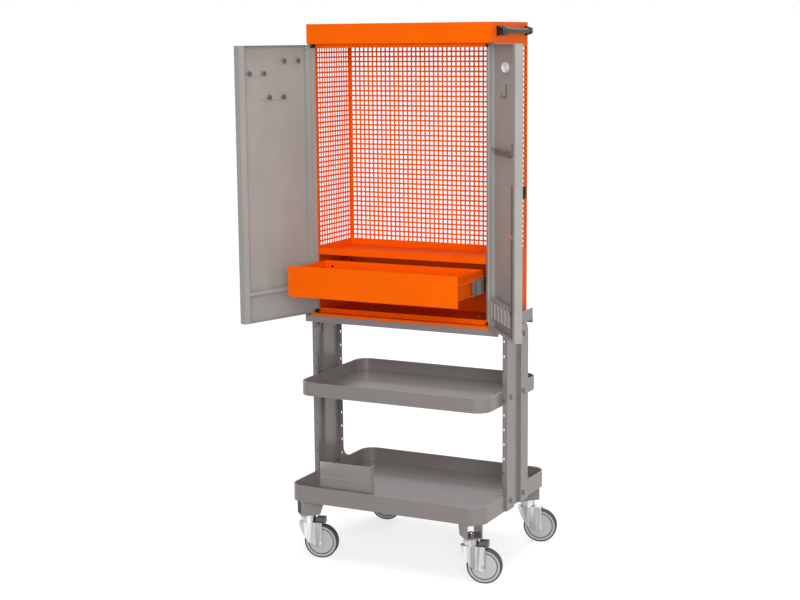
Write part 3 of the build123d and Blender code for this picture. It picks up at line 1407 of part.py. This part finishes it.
def make_fork(side, end, braked):
    """A pressed fork with its race and axle, the nose rounded and the sides cut on a slant."""
    plane = caster_plane(side, end, TURN)
    upright = Plane(origin=plane.origin, x_dir=plane.x_dir, z_dir=-plane.y_dir)
    half = FORK_WIDTH / 2
    tail = TRAIL + FORK_TAIL
    place = (side * CASTER_X, end * CASTER_Y)
    edge = [
        (-FORK_NOSE + (tail + FORK_NOSE) * along, FORK_TOE + (FORK_TOP - FORK_TOE) * rise)
        for along, rise in FORK_EDGE_SHARES
    ]
    with BuildSketch(upright.offset(-half)) as profile:
        with BuildLine():
            Polyline(
                (-FORK_NOSE, FORK_TOP),
                (tail, FORK_TOP),
                (tail, FORK_TOE),
                *edge,
                (-FORK_NOSE, FORK_TOP - FORK_NOSE_DEPTH),
                close=True,
            )
        make_face()
    with BuildSketch(plane) as outline:
        with Locations((tail / 2 - (FORK_NOSE - half) / 2, 0)):
            Rectangle(tail + FORK_NOSE - half, FORK_WIDTH)
        with Locations((half - FORK_NOSE, 0)):
            Circle(half)
    inner = half - FORK_SHEET
    with BuildSketch(plane) as cavity:
        with Locations((tail / 2 - (FORK_NOSE - half) / 2 + OVERRUN, 0)):
            Rectangle(tail + FORK_NOSE - half + 2 * OVERRUN, 2 * inner)
        with Locations((half - FORK_NOSE, 0)):
            Circle(inner)
    axle = plane.y_dir
    bolt = plane.from_local_coords((TRAIL, -half - AXLE_HEAD, WHEEL_RADIUS))
    with BuildPart() as fork:
        extrude(profile.sketch, amount=FORK_WIDTH)
        extrude(outline.sketch, amount=FORK_TOP, mode=Mode.INTERSECT)
        extrude(cavity.sketch, amount=FORK_TOP - FORK_SHEET, mode=Mode.SUBTRACT)
        rod((*place, FORK_TOP), RACE_RADIUS, RACE_SPLIT - FIT - FORK_TOP)
        rod((*place, FORK_TOP + FORK_SHEET), RACE_RADIUS + OVERRUN, RACE_GROOVE, mode=Mode.SUBTRACT)
        rod(
            (*place, FORK_TOP + FORK_SHEET - FIT),
            RACE_RADIUS - RACE_GROOVE,
            RACE_GROOVE + 2 * FIT,
        )
        rod(
            (*place, FORK_TOP - FORK_SHEET - OVERRUN),
            STEM_RADIUS + RUNNING_GAP,
            RACE_SPLIT - FORK_TOP + FORK_SHEET + 2 * OVERRUN,
            mode=Mode.SUBTRACT,
        )
        rod(tuple(bolt), AXLE_RADIUS, FORK_WIDTH + 2 * AXLE_HEAD, tuple(axle))
        hexagon(tuple(bolt), 3 * AXLE_RADIUS, AXLE_HEAD, tuple(axle))
        nut = plane.from_local_coords((TRAIL, half, WHEEL_RADIUS))
        hexagon(tuple(nut), 3 * AXLE_RADIUS, AXLE_HEAD, tuple(axle))
        if braked:
            lug = plane.from_local_coords(
                (PEDAL_START + LUG_LENGTH / 2, 0, FORK_TOP + (PEDAL_RISE + PEDAL_HEIGHT) / 2)
            )
            with BuildSketch(Plane(origin=lug, x_dir=plane.x_dir, z_dir=(0, 0, 1))) as lug_foot:
                Rectangle(LUG_LENGTH, LUG_WIDTH)
            rise = (PEDAL_RISE + PEDAL_HEIGHT) / 2
            extrude(lug_foot.sketch, amount=rise - PEDAL_RISE)
            extrude(lug_foot.sketch, amount=-rise)
            rod(
                tuple(plane.from_local_coords((pedal_pivot[0], -LUG_WIDTH, pedal_pivot[1]))),
                PEDAL_PIN_RADIUS + RUNNING_GAP,
                2 * LUG_WIDTH,
                tuple(axle),
                Mode.SUBTRACT,
            )
    return fork


pedal_pivot = (
    PEDAL_START + LUG_LENGTH / 2,
    FORK_TOP + PEDAL_RISE + PEDAL_HEIGHT / 3,
)


def make_wheel(side, end):
    """A wheel disc with its hub, bore and the groove round each face."""
    centre = caster_plane(side, end, TURN).from_local_coords((TRAIL, 0, WHEEL_RADIUS))
    axle = caster_plane(side, end, TURN).y_dir
    plane = Plane(origin=centre, x_dir=(0, 0, 1), z_dir=axle)
    with BuildPart(plane) as wheel:
        Cylinder(WHEEL_RADIUS - TYRE_THICK, DISC_WIDTH)
        Cylinder(HUB_RADIUS, HUB_WIDTH)
        for face in SIDES:
            with BuildSketch(plane.offset(face * DISC_WIDTH / 2)) as groove:
                Circle(DISC_GROOVE_RADIUS + DISC_GROOVE)
                Circle(DISC_GROOVE_RADIUS, mode=Mode.SUBTRACT)
            extrude(groove.sketch, amount=-face * DISC_GROOVE, mode=Mode.SUBTRACT)
        Cylinder(AXLE_RADIUS + RUNNING_GAP, HUB_WIDTH + OVERRUN, mode=Mode.SUBTRACT)
    return wheel


def make_tyre(side, end):
    """A tyre with rounded shoulders, seated on the wheel disc."""
    centre = caster_plane(side, end, TURN).from_local_coords((TRAIL, 0, WHEEL_RADIUS))
    axle = caster_plane(side, end, TURN).y_dir
    plane = Plane(origin=centre, x_dir=(0, 0, 1), z_dir=axle)
    with BuildPart(plane) as tyre:
        Cylinder(WHEEL_RADIUS, TYRE_WIDTH)
        fillet(tyre.edges().filter_by(GeomType.CIRCLE), TYRE_FILLET)
        Cylinder(WHEEL_RADIUS - TYRE_THICK, TYRE_WIDTH + OVERRUN, mode=Mode.SUBTRACT)
    return tyre


for name, side, end in CORNERS:
    fork = make_fork(side, end, end < 0)
    fork.part.label = f"fork_{name}"
    export_step(fork.part, f"parts/fork_{name}.step")
    wheel = make_wheel(side, end)
    wheel.part.label = f"wheel_{name}"
    export_step(wheel.part, f"parts/wheel_{name}.step")
    tyre = make_tyre(side, end)
    tyre.part.label = f"tyre_{name}"
    export_step(tyre.part, f"parts/tyre_{name}.step")


def make_pedal(side):
    """A brake pedal that straddles the fork's lug and reaches down behind the fork."""
    plane = caster_plane(side, -1, TURN)
    low = FORK_TOP + PEDAL_RISE
    half = PEDAL_WIDTH / 2
    end = PEDAL_START + PEDAL_LENGTH
    with BuildPart(plane) as block:
        slab((PEDAL_START, end), (-half, half), (low, low + PEDAL_HEIGHT))
        top_edges = block.edges().filter_by(Axis.Z, reverse=True).group_by(Axis.Z)[-1]
        fillet(top_edges, PEDAL_FILLET)
        slab((end - PEDAL_ARM, end), (-half, half), (low - PEDAL_ARM_DROP, low + PEDAL_FILLET))
        slot = LUG_WIDTH / 2 + LUG_GAP
        slab(
            (PEDAL_START - OVERRUN, PEDAL_START + LUG_LENGTH + 4 * LUG_GAP),
            (-slot, slot),
            (low - OVERRUN, low + PEDAL_HEIGHT + OVERRUN),
            Mode.SUBTRACT,
        )
    pin = plane.from_local_coords((pedal_pivot[0], -half + PEDAL_FILLET, pedal_pivot[1]))
    with BuildPart() as pedal:
        add(block.part)
        rod(tuple(pin), PEDAL_PIN_RADIUS, 2 * (half - PEDAL_FILLET), tuple(plane.y_dir))
    return pedal


pedal_left = make_pedal(-1)
pedal_left.part.label = "pedal_left"
export_step(pedal_left.part, "parts/pedal_left.step")
pedal_right = make_pedal(1)
pedal_right.part.label = "pedal_right"
export_step(pedal_right.part, "parts/pedal_right.step")
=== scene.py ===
import json
import math
import bmesh
import bpy
from mathutils import Matrix, Vector


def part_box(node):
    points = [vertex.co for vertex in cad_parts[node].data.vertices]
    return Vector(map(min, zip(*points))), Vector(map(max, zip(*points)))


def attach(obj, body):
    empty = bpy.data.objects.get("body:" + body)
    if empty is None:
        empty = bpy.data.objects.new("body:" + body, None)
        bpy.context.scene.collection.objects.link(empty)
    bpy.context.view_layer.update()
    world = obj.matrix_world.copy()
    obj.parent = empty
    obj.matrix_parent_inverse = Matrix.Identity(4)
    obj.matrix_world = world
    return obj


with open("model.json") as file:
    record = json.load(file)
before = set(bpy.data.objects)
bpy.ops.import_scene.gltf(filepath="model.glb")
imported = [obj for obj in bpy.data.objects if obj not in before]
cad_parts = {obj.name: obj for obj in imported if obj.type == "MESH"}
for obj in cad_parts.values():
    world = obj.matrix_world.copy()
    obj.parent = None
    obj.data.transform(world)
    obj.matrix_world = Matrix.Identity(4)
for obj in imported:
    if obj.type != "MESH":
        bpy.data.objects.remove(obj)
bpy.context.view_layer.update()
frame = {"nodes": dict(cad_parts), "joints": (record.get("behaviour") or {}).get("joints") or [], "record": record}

# Camera, fitted to the photograph: where it stands, in metres, and how it looks
CAMERA_PLACE = (2.104, -4.255, 1.568)
CAMERA_TURN = 0.471  # radians to the left of straight ahead
CAMERA_PITCH = 0.164  # radians down
CAMERA_ROLL = -0.009  # radians, above zero where the camera's right side is raised
FOCAL_PIXELS = 1585.0
PHOTO_WIDTH = 800.0
SENSOR = 36.0  # millimetres

# Colours, as linear values
ORANGE = (0.9, 0.124, 0.002)
ORANGE_SHINE = (1.0, 0.3, 0.05)
DOOR_GREY = (0.348, 0.342, 0.322)
# Darker than the doors: painted shade for fittings that look dark from their back-lit side
FITTING_SHADE_GREY = (0.13, 0.125, 0.12)
BASE_GREY = (0.205, 0.182, 0.173)
# Lighter than the base grey, as painted sheen for the divider's bright reflections; its clear coat gives real
# gloss on top
DIVIDER_SHEEN_GREY = (0.38, 0.35, 0.335)
ZINC = (0.55, 0.55, 0.56)
BRIGHT = (0.86, 0.86, 0.86)
BLACK = (0.009, 0.009, 0.01)
SEAM = (0.08, 0.08, 0.08)
WHEEL_GREY = (0.5, 0.5, 0.51)
TYRE = (0.06, 0.06, 0.064)
WHITE = (1.0, 1.0, 1.0)
OPAQUE = 1.0  # alpha of every colour

# Finishes: roughness, clear gloss on top, and the coating's fine unevenness; on the zinc, the colour's unevenness
# is painted reflection streaks
PAINT_ROUGHNESS = 0.42
MATT_ROUGHNESS = 0.5
ZINC_ROUGHNESS = 0.3
PLASTIC_ROUGHNESS = 0.45
RUBBER_ROUGHNESS = 0.8
METAL = 1.0
BASE_COAT = 0.35
DIVIDER_COAT = 1.0
COAT_ROUGHNESS = 0.15
SHINE_LEVEL = 0.5  # strength of a coating's own reflections
MATT_SHINE_LEVEL = 0.25
ORANGE_SHINE_LEVEL = 0.05
SPREAD = 0.06  # how far the roughness wanders either way
ZINC_SPREAD = 0.12
TONE_SHARE = 0.03  # how far a coating's colour wanders either way
# Zinc: its colour wanders this far, in painted light and dark streaks that stand in for reflections
ZINC_REFLECTION_SHARE = 0.4
EVEN = (1.0, 1.0, 1.0)  # a noise that isn't drawn out
ZINC_REFLECTION_STREAK = (9.0, 9.0, 0.6)  # how the painted light and dark streaks on the zinc, which stand in for the forks' reflections, are drawn out
NOISE_SHARES = (0.35, 0.65)  # between which nearly all of a noise's values lie
GRAIN_SCALE = 900.0
PATCH_SCALE = 9.0
GRAIN_DEPTH = 0.00004  # metres
GRAIN_STRENGTH = 0.25
EDGE_RADIUS = 0.0008  # metres, of the soft line of light along folded and cut edges

# Details that are added to the solids, in metres
LEFT_OPEN = 107.0  # how far the left door stands open, in degrees
RIGHT_OPEN = 129.3  # and the right door
PIN_INSET = 0.009  # of the hinge pins from a door's edge and outer face
CORNER_SPAN = (0.001, 0.019)  # where a door's black corners start and end, from its hinge edge
CORNER_DEPTHS = (0.0175, 0.0195, 0.0203)  # of their foot, bevel and top, from its outer face
CORNER_HEIGHT = 0.01
CORNER_RADIUS = 0.003
CORNER_BEVEL = 0.0009
RIB_RADIUS = 0.0017
RIB_PLACES = (0.0, 0.012)  # of the two ribs on a fork's leg, behind its stem
RIB_SPAN = (0.058, 0.1)  # their lowest and highest point
FORK_HALF = 0.018  # half the width over a fork's legs
DISC_HALF = 0.011  # half the width of a wheel's disc
SEAM_RADIUS = 0.039  # of the dark seam in a wheel's disc
SEAM_SECTION = 0.0012
CAP_RADIUS = 0.007
CAP_RADIUS_SHARES = (0.5, 0.95, 1.0, 1.0, 0.9, 0.3)  # of a cap's rings, from its foot to its crown
CAP_LEVELS = (-0.0026, -0.0026, -0.002, 0.0, 0.001, 0.0018)  # of its rings, from its peg's end
FACE_GAP = 0.0002  # points this near to a node's outermost reach lie in its outer faces
GRIP_INSET = 0.0105  # from the handle bar's ends to the grip's
GRIP_FLARE = 0.085  # length of the grip's flared front end
GRIP_HALF_HEIGHTS = (0.0125, 0.0072)  # at the grip's front end and beyond the flare
GRIP_HALF_WIDTH = 0.0069
ROUND_STEPS = 32
SECTION_STEPS = 10  # round the seam's own section
LOFT_STEPS = 24  # along the grip
END_SHARES = (0.05, 0.2, 0.45, 0.75, 1.0)  # rings that round an end off, as shares of its radius

# Stage
FLOOR_HALF = 30.0  # metres
FLOOR_COLOUR = (0.5, 0.5, 0.5)
FLOOR_GLOW = (0.68, 0.79)  # near the cabinet and far from it
FLOOR_GLOW_REACH = (2.0, 7.0)  # how far from the cabinet each holds, in metres
SKY_LIGHT = 0.43
SKY_WHITE = 1.0
LAMPS = {  # place and size in metres, and power in watts
    "key": ((2.3, -4.4, 2.1), 2.4, 140.0),
    "fill": ((4.4, -1.4, 1.2), 2.0, 28.0),
    "top": ((0.2, -0.4, 4.6), 3.0, 90.0),
    "rear": ((0.0, 4.6, 2.4), 2.4, 50.0),
}
AIM = (0, 0, 0.8)  # where the lamps face


def new_material(name):
    """An empty node material, its node tree and its output node."""
    material = bpy.data.materials.new(name)
    material.use_nodes = True
    tree = material.node_tree
    tree.nodes.clear()
    output = tree.nodes.new("ShaderNodeOutputMaterial")
    return material, tree, output


def set_range(node, side, values):
    """Sets the lower and upper end of one side of a map range node."""
    for end, value in zip(("Min", "Max"), values):
        node.inputs[f"{side} {end}"].default_value = value


def noise(tree, scale, stretch=EVEN):
    """A noise texture in object space, drawn out where the stretch is small."""
    places = tree.nodes.new("ShaderNodeTexCoord")
    mapping = tree.nodes.new("ShaderNodeMapping")
    mapping.inputs["Scale"].default_value = stretch
    texture = tree.nodes.new("ShaderNodeTexNoise")
    texture.inputs["Scale"].default_value = scale
    tree.links.new(places.outputs["Object"], mapping.inputs["Vector"])
    tree.links.new(mapping.outputs["Vector"], texture.inputs["Vector"])
    return texture


# Filled by make_finish, by name
MATERIALS = {}


def make_finish(
    name,
    colour,
    roughness,
    metallic=0,
    coat=0,
    shine=WHITE,
    shine_level=SHINE_LEVEL,
    spread=SPREAD,
    tone_share=TONE_SHARE,
    stretch=EVEN,
):
    """Adds a material with a fine grain, soft edges and a gloss that wanders a little."""
    material, tree, output = new_material(name)
    shader = tree.nodes.new("ShaderNodeBsdfPrincipled")
    shader.inputs["Metallic"].default_value = metallic
    shader.inputs["Specular Tint"].default_value = (*shine, OPAQUE)
    shader.inputs["Specular IOR Level"].default_value = shine_level
    shader.inputs["Coat Weight"].default_value = coat
    shader.inputs["Coat Roughness"].default_value = COAT_ROUGHNESS
    # This noise sets the colour's random tone; on the zinc, drawn out, it paints reflection streaks
    patches = noise(tree, PATCH_SCALE, stretch)
    tone = tree.nodes.new("ShaderNodeValToRGB")
    factors = (1 - tone_share, 1 + tone_share)
    for element, place, factor in zip(tone.color_ramp.elements, NOISE_SHARES, factors):
        element.position = place
        element.color = (*(min(1, factor * value) for value in colour), OPAQUE)
    tree.links.new(patches.outputs["Fac"], tone.inputs["Fac"])
    tree.links.new(tone.outputs["Color"], shader.inputs["Base Color"])
    wander = tree.nodes.new("ShaderNodeMapRange")
    set_range(wander, "To", (roughness - spread, roughness + spread))
    tree.links.new(patches.outputs["Fac"], wander.inputs["Value"])
    tree.links.new(wander.outputs["Result"], shader.inputs["Roughness"])
    edge = tree.nodes.new("ShaderNodeBevel")
    edge.inputs["Radius"].default_value = EDGE_RADIUS
    bump = tree.nodes.new("ShaderNodeBump")
    bump.inputs["Strength"].default_value = GRAIN_STRENGTH
    bump.inputs["Distance"].default_value = GRAIN_DEPTH
    tree.links.new(edge.outputs["Normal"], bump.inputs["Normal"])
    tree.links.new(noise(tree, GRAIN_SCALE).outputs["Fac"], bump.inputs["Height"])
    tree.links.new(bump.outputs["Normal"], shader.inputs["Normal"])
    tree.links.new(shader.outputs["BSDF"], output.inputs["Surface"])
    MATERIALS[name] = material


make_finish(
    "orange_paint",
    ORANGE,
    MATT_ROUGHNESS,
    shine=ORANGE_SHINE,
    shine_level=ORANGE_SHINE_LEVEL,
)
make_finish("door_grey", DOOR_GREY, MATT_ROUGHNESS, shine_level=MATT_SHINE_LEVEL)
make_finish("base_grey", BASE_GREY, PAINT_ROUGHNESS, coat=BASE_COAT)
# Zinc, with painted reflection streaks in its colour
make_finish(
    "zinc",
    ZINC,
    ZINC_ROUGHNESS,
    metallic=METAL,
    spread=ZINC_SPREAD,
    tone_share=ZINC_REFLECTION_SHARE,
    stretch=ZINC_REFLECTION_STREAK,
)
make_finish("black_plastic", BLACK, PLASTIC_ROUGHNESS, shine_level=MATT_SHINE_LEVEL)
make_finish("wheel_grey", WHEEL_GREY, PLASTIC_ROUGHNESS)
make_finish("tyre_grey", TYRE, RUBBER_ROUGHNESS)
# Painted shade for the door fittings and rods
make_finish("fitting_shade_grey", FITTING_SHADE_GREY, PAINT_ROUGHNESS)
make_finish("pedal_grey", SEAM, PLASTIC_ROUGHNESS)
make_finish("oval_bright", BRIGHT, PLASTIC_ROUGHNESS)
# Painted sheen for the divider, over a real clear coat
make_finish("divider_sheen_grey", DIVIDER_SHEEN_GREY, PAINT_ROUGHNESS, coat=DIVIDER_COAT)
make_finish("wheel_seam", SEAM, PLASTIC_ROUGHNESS)

# Nodes whose finish isn't that of their material slot
NODE_FINISHES = {
    # Hooks, ledge and rods: dark grey as painted shade
    "single_hooks": "fitting_shade_grey",
    "door_ledge": "fitting_shade_grey",
    "rod_upper": "fitting_shade_grey",
    "rod_lower": "fitting_shade_grey",
    "oval_pad": "oval_bright",
    # Lighter grey on the divider: painted sheen
    "tray_divider": "divider_sheen_grey",
    "pedal_left": "pedal_grey",
    "pedal_right": "pedal_grey",
}

# Each node shows the finish of its slot, unless it is named above
slots = {part["node"]: part["material_slot"] for part in frame["record"]["subparts"]}
for name, node in frame["nodes"].items():
    node.data.materials.clear()
    node.data.materials.append(MATERIALS[NODE_FINISHES.get(name, slots[name])])


def add_piece(name, mesh, finish, body):
    """A shaded mesh that rides on a body of the cabinet."""
    data = bpy.data.meshes.new(name)
    bmesh.ops.recalc_face_normals(mesh, faces=mesh.faces)
    mesh.to_mesh(data)
    mesh.free()
    data.materials.append(MATERIALS[finish])
    data.shade_smooth()
    piece = bpy.data.objects.new(name, data)
    bpy.context.collection.objects.link(piece)
    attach(piece, body)


def sweep_rings(mesh, rings, closed=False):
    """Faces between rings of points; the ends are filled, or the last ring meets the first."""
    loops = [[mesh.verts.new(point) for point in ring] for ring in rings]
    pairs = list(zip(loops, loops[1:]))
    if closed:
        pairs.append((loops[-1], loops[0]))
    else:
        mesh.faces.new(loops[0])
        mesh.faces.new(loops[-1])
    for low, high in pairs:
        for i, point in enumerate(low):
            mesh.faces.new((low[i - 1], point, high[i], high[i - 1]))


def turns(steps):
    """Angles that divide a full turn."""
    return [math.tau * i / steps for i in range(steps)]


def ring(centre, first, second):
    """Points of an ellipse with these two half axes."""
    return [
        centre + first * math.cos(turn) + second * math.sin(turn) for turn in turns(ROUND_STEPS)
    ]


def circle(place, axis, radius, along):
    """Points of a circle round an axis, some way along it from a place."""
    axis = axis.normalized()
    across = axis.orthogonal().normalized()
    return ring(place + axis * along, across * radius, axis.cross(across) * radius)


def middle(node):
    """The middle of a node's box."""
    low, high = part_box(node)
    return (Vector(low) + Vector(high)) / 2


def joint_of(body):
    """The joint that a body moves on."""
    return next(joint for joint in frame["joints"] if joint["child"] == body)


def axle(corner):
    """The direction of a wheel's axle."""
    return Vector(joint_of(f"roller_{corner}")["axis"])


def add_wheel_seam(corner):
    """The dark seam on both faces of a wheel's disc."""
    mesh = bmesh.new()
    place = middle(f"wheel_{corner}")
    for side in (-1, 1):
        rings = []
        for turn in turns(SECTION_STEPS):
            radius = SEAM_RADIUS + SEAM_SECTION * math.cos(turn)
            along = side * DISC_HALF + SEAM_SECTION * math.sin(turn)
            rings.append(circle(place, axle(corner), radius, along))
        sweep_rings(mesh, rings, closed=True)
    add_piece(f"wheel_seam_{corner}", mesh, "wheel_seam", f"roller_{corner}")


def add_fork_ribs(corner):
    """Two pressed ribs down the outside of each of a fork's legs."""
    across = axle(corner)
    upward = Vector((0, 0, 1))
    trail = across.cross(upward)
    stem = Vector(joint_of(f"caster_{corner}")["pos_m"])
    stem.z = 0
    low, high = RIB_SPAN
    ends = [(share * RIB_RADIUS, math.sqrt(1 - (1 - share) ** 2)) for share in END_SHARES]
    levels = [(low + depth, swell) for depth, swell in ends]
    levels += [(high - depth, swell) for depth, swell in reversed(ends)]
    mesh = bmesh.new()
    for side in (-1, 1):
        for place in RIB_PLACES:
            foot = stem + trail * place + across * side * FORK_HALF
            rings = [circle(foot, upward, RIB_RADIUS * swell, level) for level, swell in levels]
            sweep_rings(mesh, rings)
    add_piece(f"fork_ribs_{corner}", mesh, "zinc", f"caster_{corner}")


def outer_faces(node, direction):
    """The middles of the separate faces in which a node reaches farthest in a direction."""
    points = [vertex.co for vertex in frame["nodes"][node].data.vertices]
    reach = max(point.dot(direction) for point in points)
    width = 2 * CAP_RADIUS
    groups = []
    for point in points:
        if reach - point.dot(direction) >= FACE_GAP:
            continue
        near = [group for group in groups if (group[0] - point).length < width]
        if near:
            near[0].append(point)
        else:
            groups.append([point])
    middles = []
    for group in groups:
        low = Vector([min(point[axis] for point in group) for axis in range(len(group[0]))])
        high = Vector([max(point[axis] for point in group) for axis in range(len(group[0]))])
        middles.append((low + high) / 2)
    return middles


def door_axes(side, opening):
    """Along a door from its hinge edge, and into it, for a door that is open by an angle."""
    turn = math.radians(opening)
    along = Vector((-side * math.cos(turn), -math.sin(turn), 0))
    inward = Vector((-side * math.sin(turn), math.cos(turn), 0))
    return along, inward


def rounded_corners(half_width, half_height, radius):
    """Points of a rectangle with rounded corners, across and up from its middle."""
    points = []
    for turn in turns(ROUND_STEPS):
        across = math.cos(turn)
        upward = math.sin(turn)
        x = math.copysign(half_width - radius, across) + radius * across
        y = math.copysign(half_height - radius, upward) + radius * upward
        points.append((x, y))
    return points


def add_door_corners(name, side, opening):
    """Black plastic corners on a door's hinge edge, at its top and bottom."""
    along, inward = door_axes(side, opening)
    hinge = joint_of(f"{name}_door")["pos_m"]
    low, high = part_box(f"door_{name}")
    upward = Vector((0, 0, 1))
    half_width = (CORNER_SPAN[1] - CORNER_SPAN[0]) / 2
    reach = CORNER_SPAN[0] + half_width - PIN_INSET
    foot, edge, face = CORNER_DEPTHS
    levels = ((foot, 0), (edge, 0), (face, CORNER_BEVEL))
    mesh = bmesh.new()
    for z in (low[2] + CORNER_HEIGHT / 2, high[2] - CORNER_HEIGHT / 2):
        rings = []
        for depth, bevel in levels:
            centre = Vector((hinge[0], hinge[1], z))
            centre += along * reach + inward * (depth - PIN_INSET)
            half_height = CORNER_HEIGHT / 2 - bevel
            outline = rounded_corners(half_width - bevel, half_height, CORNER_RADIUS - bevel)
            rings.append([centre + along * across + upward * up for across, up in outline])
        sweep_rings(mesh, rings)
    add_piece(f"door_corners_{name}", mesh, "black_plastic", f"{name}_door")


def add_hook_caps():
    """Black caps on the ends of the left door's hook pegs."""
    inward = door_axes(-1, LEFT_OPEN)[1]
    mesh = bmesh.new()
    for place in outer_faces("hook_strips", inward):
        rings = []
        for share, level in zip(CAP_RADIUS_SHARES, CAP_LEVELS):
            rings.append(circle(place, inward, share * CAP_RADIUS, level))
        sweep_rings(mesh, rings)
    add_piece("hook_caps", mesh, "pedal_grey", "left_door")


def ease(share):
    """A share from 0 to 1, made to start and to end gently."""
    return share * share * (3 - 2 * share)


def add_grip():
    """A moulded grip over the handle's bar, flared towards its front end."""
    place = middle("handle_bar")
    low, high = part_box("handle_bar")
    start = low[1] + GRIP_INSET
    length = high[1] - GRIP_INSET - start
    front, rear = GRIP_HALF_HEIGHTS
    rings = []
    for i in range(LOFT_STEPS + 1):
        along = length * i / LOFT_STEPS
        half = front + (rear - front) * ease(min(1, along / GRIP_FLARE))
        centre = Vector((place.x, start + along, place.z))
        rings.append(ring(centre, Vector((GRIP_HALF_WIDTH, 0, 0)), Vector((0, 0, half))))
    mesh = bmesh.new()
    sweep_rings(mesh, rings)
    add_piece("handle_grip", mesh, "black_plastic", "cabinet")


for corner in ("front_left", "front_right", "rear_left", "rear_right"):
    add_wheel_seam(corner)
    add_fork_ribs(corner)
add_door_corners("left", -1, LEFT_OPEN)
add_door_corners("right", 1, RIGHT_OPEN)
add_hook_caps()
add_grip()


def seen_rays(tree):
    """1 for rays that come from the camera, a reflection or through glass, otherwise 0."""
    path = tree.nodes.new("ShaderNodeLightPath")
    total = path.outputs["Is Camera Ray"]
    for ray in ("Is Glossy Ray", "Is Transmission Ray"):
        larger = tree.nodes.new("ShaderNodeMath")
        larger.operation = "MAXIMUM"
        tree.links.new(total, larger.inputs[0])
        tree.links.new(path.outputs[ray], larger.inputs[1])
        total = larger.outputs[0]
    return total


def make_floor():
    """A wide pale floor that shows nearly white and keeps the cabinet's shadow."""
    mesh = bpy.data.meshes.new("floor")
    corners = [
        (x * FLOOR_HALF, y * FLOOR_HALF, 0) for x, y in ((-1, -1), (1, -1), (1, 1), (-1, 1))
    ]
    mesh.from_pydata(corners, [], [range(len(corners))])
    floor = bpy.data.objects.new("floor", mesh)
    bpy.context.collection.objects.link(floor)
    material, tree, output = new_material("floor")
    diffuse = tree.nodes.new("ShaderNodeBsdfDiffuse")
    diffuse.inputs["Color"].default_value = (*FLOOR_COLOUR, OPAQUE)
    glow = tree.nodes.new("ShaderNodeEmission")
    places = tree.nodes.new("ShaderNodeTexCoord")
    reach = tree.nodes.new("ShaderNodeVectorMath")
    reach.operation = "LENGTH"
    tree.links.new(places.outputs["Object"], reach.inputs[0])
    grade = tree.nodes.new("ShaderNodeMapRange")
    set_range(grade, "From", FLOOR_GLOW_REACH)
    set_range(grade, "To", FLOOR_GLOW)
    tree.links.new(reach.outputs["Value"], grade.inputs["Value"])
    strength = tree.nodes.new("ShaderNodeMath")
    strength.operation = "MULTIPLY"
    tree.links.new(seen_rays(tree), strength.inputs[0])
    tree.links.new(grade.outputs["Result"], strength.inputs[1])
    tree.links.new(strength.outputs[0], glow.inputs["Strength"])
    both = tree.nodes.new("ShaderNodeAddShader")
    tree.links.new(diffuse.outputs[0], both.inputs[0])
    tree.links.new(glow.outputs[0], both.inputs[1])
    tree.links.new(both.outputs[0], output.inputs["Surface"])
    mesh.materials.append(material)


def make_world():
    """A white surround for the camera and reflections, and a softer one that lights."""
    world = bpy.data.worlds.new("studio")
    bpy.context.scene.world = world
    world.use_nodes = True
    tree = world.node_tree
    tree.nodes.clear()
    output = tree.nodes.new("ShaderNodeOutputWorld")
    background = tree.nodes.new("ShaderNodeBackground")
    strength = tree.nodes.new("ShaderNodeMapRange")
    set_range(strength, "To", (SKY_LIGHT, SKY_WHITE))
    tree.links.new(seen_rays(tree), strength.inputs["Value"])
    tree.links.new(strength.outputs["Result"], background.inputs["Strength"])
    background.inputs["Color"].default_value = (*WHITE, OPAQUE)
    tree.links.new(background.outputs[0], output.inputs["Surface"])


def add_lamp(name, place, size, power):
    """A square area lamp that faces the cabinet."""
    data = bpy.data.lights.new(name, "AREA")
    data.shape = "SQUARE"
    data.size = size
    data.energy = power
    lamp = bpy.data.objects.new(name, data)
    lamp.location = place
    facing = Vector(AIM) - Vector(place)
    lamp.rotation_euler = facing.to_track_quat("-Z", "Y").to_euler()
    bpy.context.collection.objects.link(lamp)


def make_camera():
    """The photograph's camera: centred on the picture, without shift."""
    forward = Vector(
        (
            -math.sin(CAMERA_TURN) * math.cos(CAMERA_PITCH),
            math.cos(CAMERA_TURN) * math.cos(CAMERA_PITCH),
            -math.sin(CAMERA_PITCH),
        )
    )
    level = forward.cross(Vector((0, 0, 1))).normalized()
    upright = level.cross(forward)
    right = level * math.cos(CAMERA_ROLL) + upright * math.sin(CAMERA_ROLL)
    up = upright * math.cos(CAMERA_ROLL) - level * math.sin(CAMERA_ROLL)
    data = bpy.data.cameras.new("camera")
    data.sensor_width = SENSOR
    data.lens = FOCAL_PIXELS / PHOTO_WIDTH * SENSOR
    camera = bpy.data.objects.new("camera", data)
    turn = Matrix((right, up, -forward)).transposed().to_4x4()
    camera.matrix_world = Matrix.Translation(CAMERA_PLACE) @ turn
    bpy.context.collection.objects.link(camera)
    bpy.context.scene.camera = camera


make_floor()
make_world()
for name, (place, size, power) in LAMPS.items():
    add_lamp(name, place, size, power)
make_camera()
bpy.context.scene.view_settings.view_transform = "Standard"
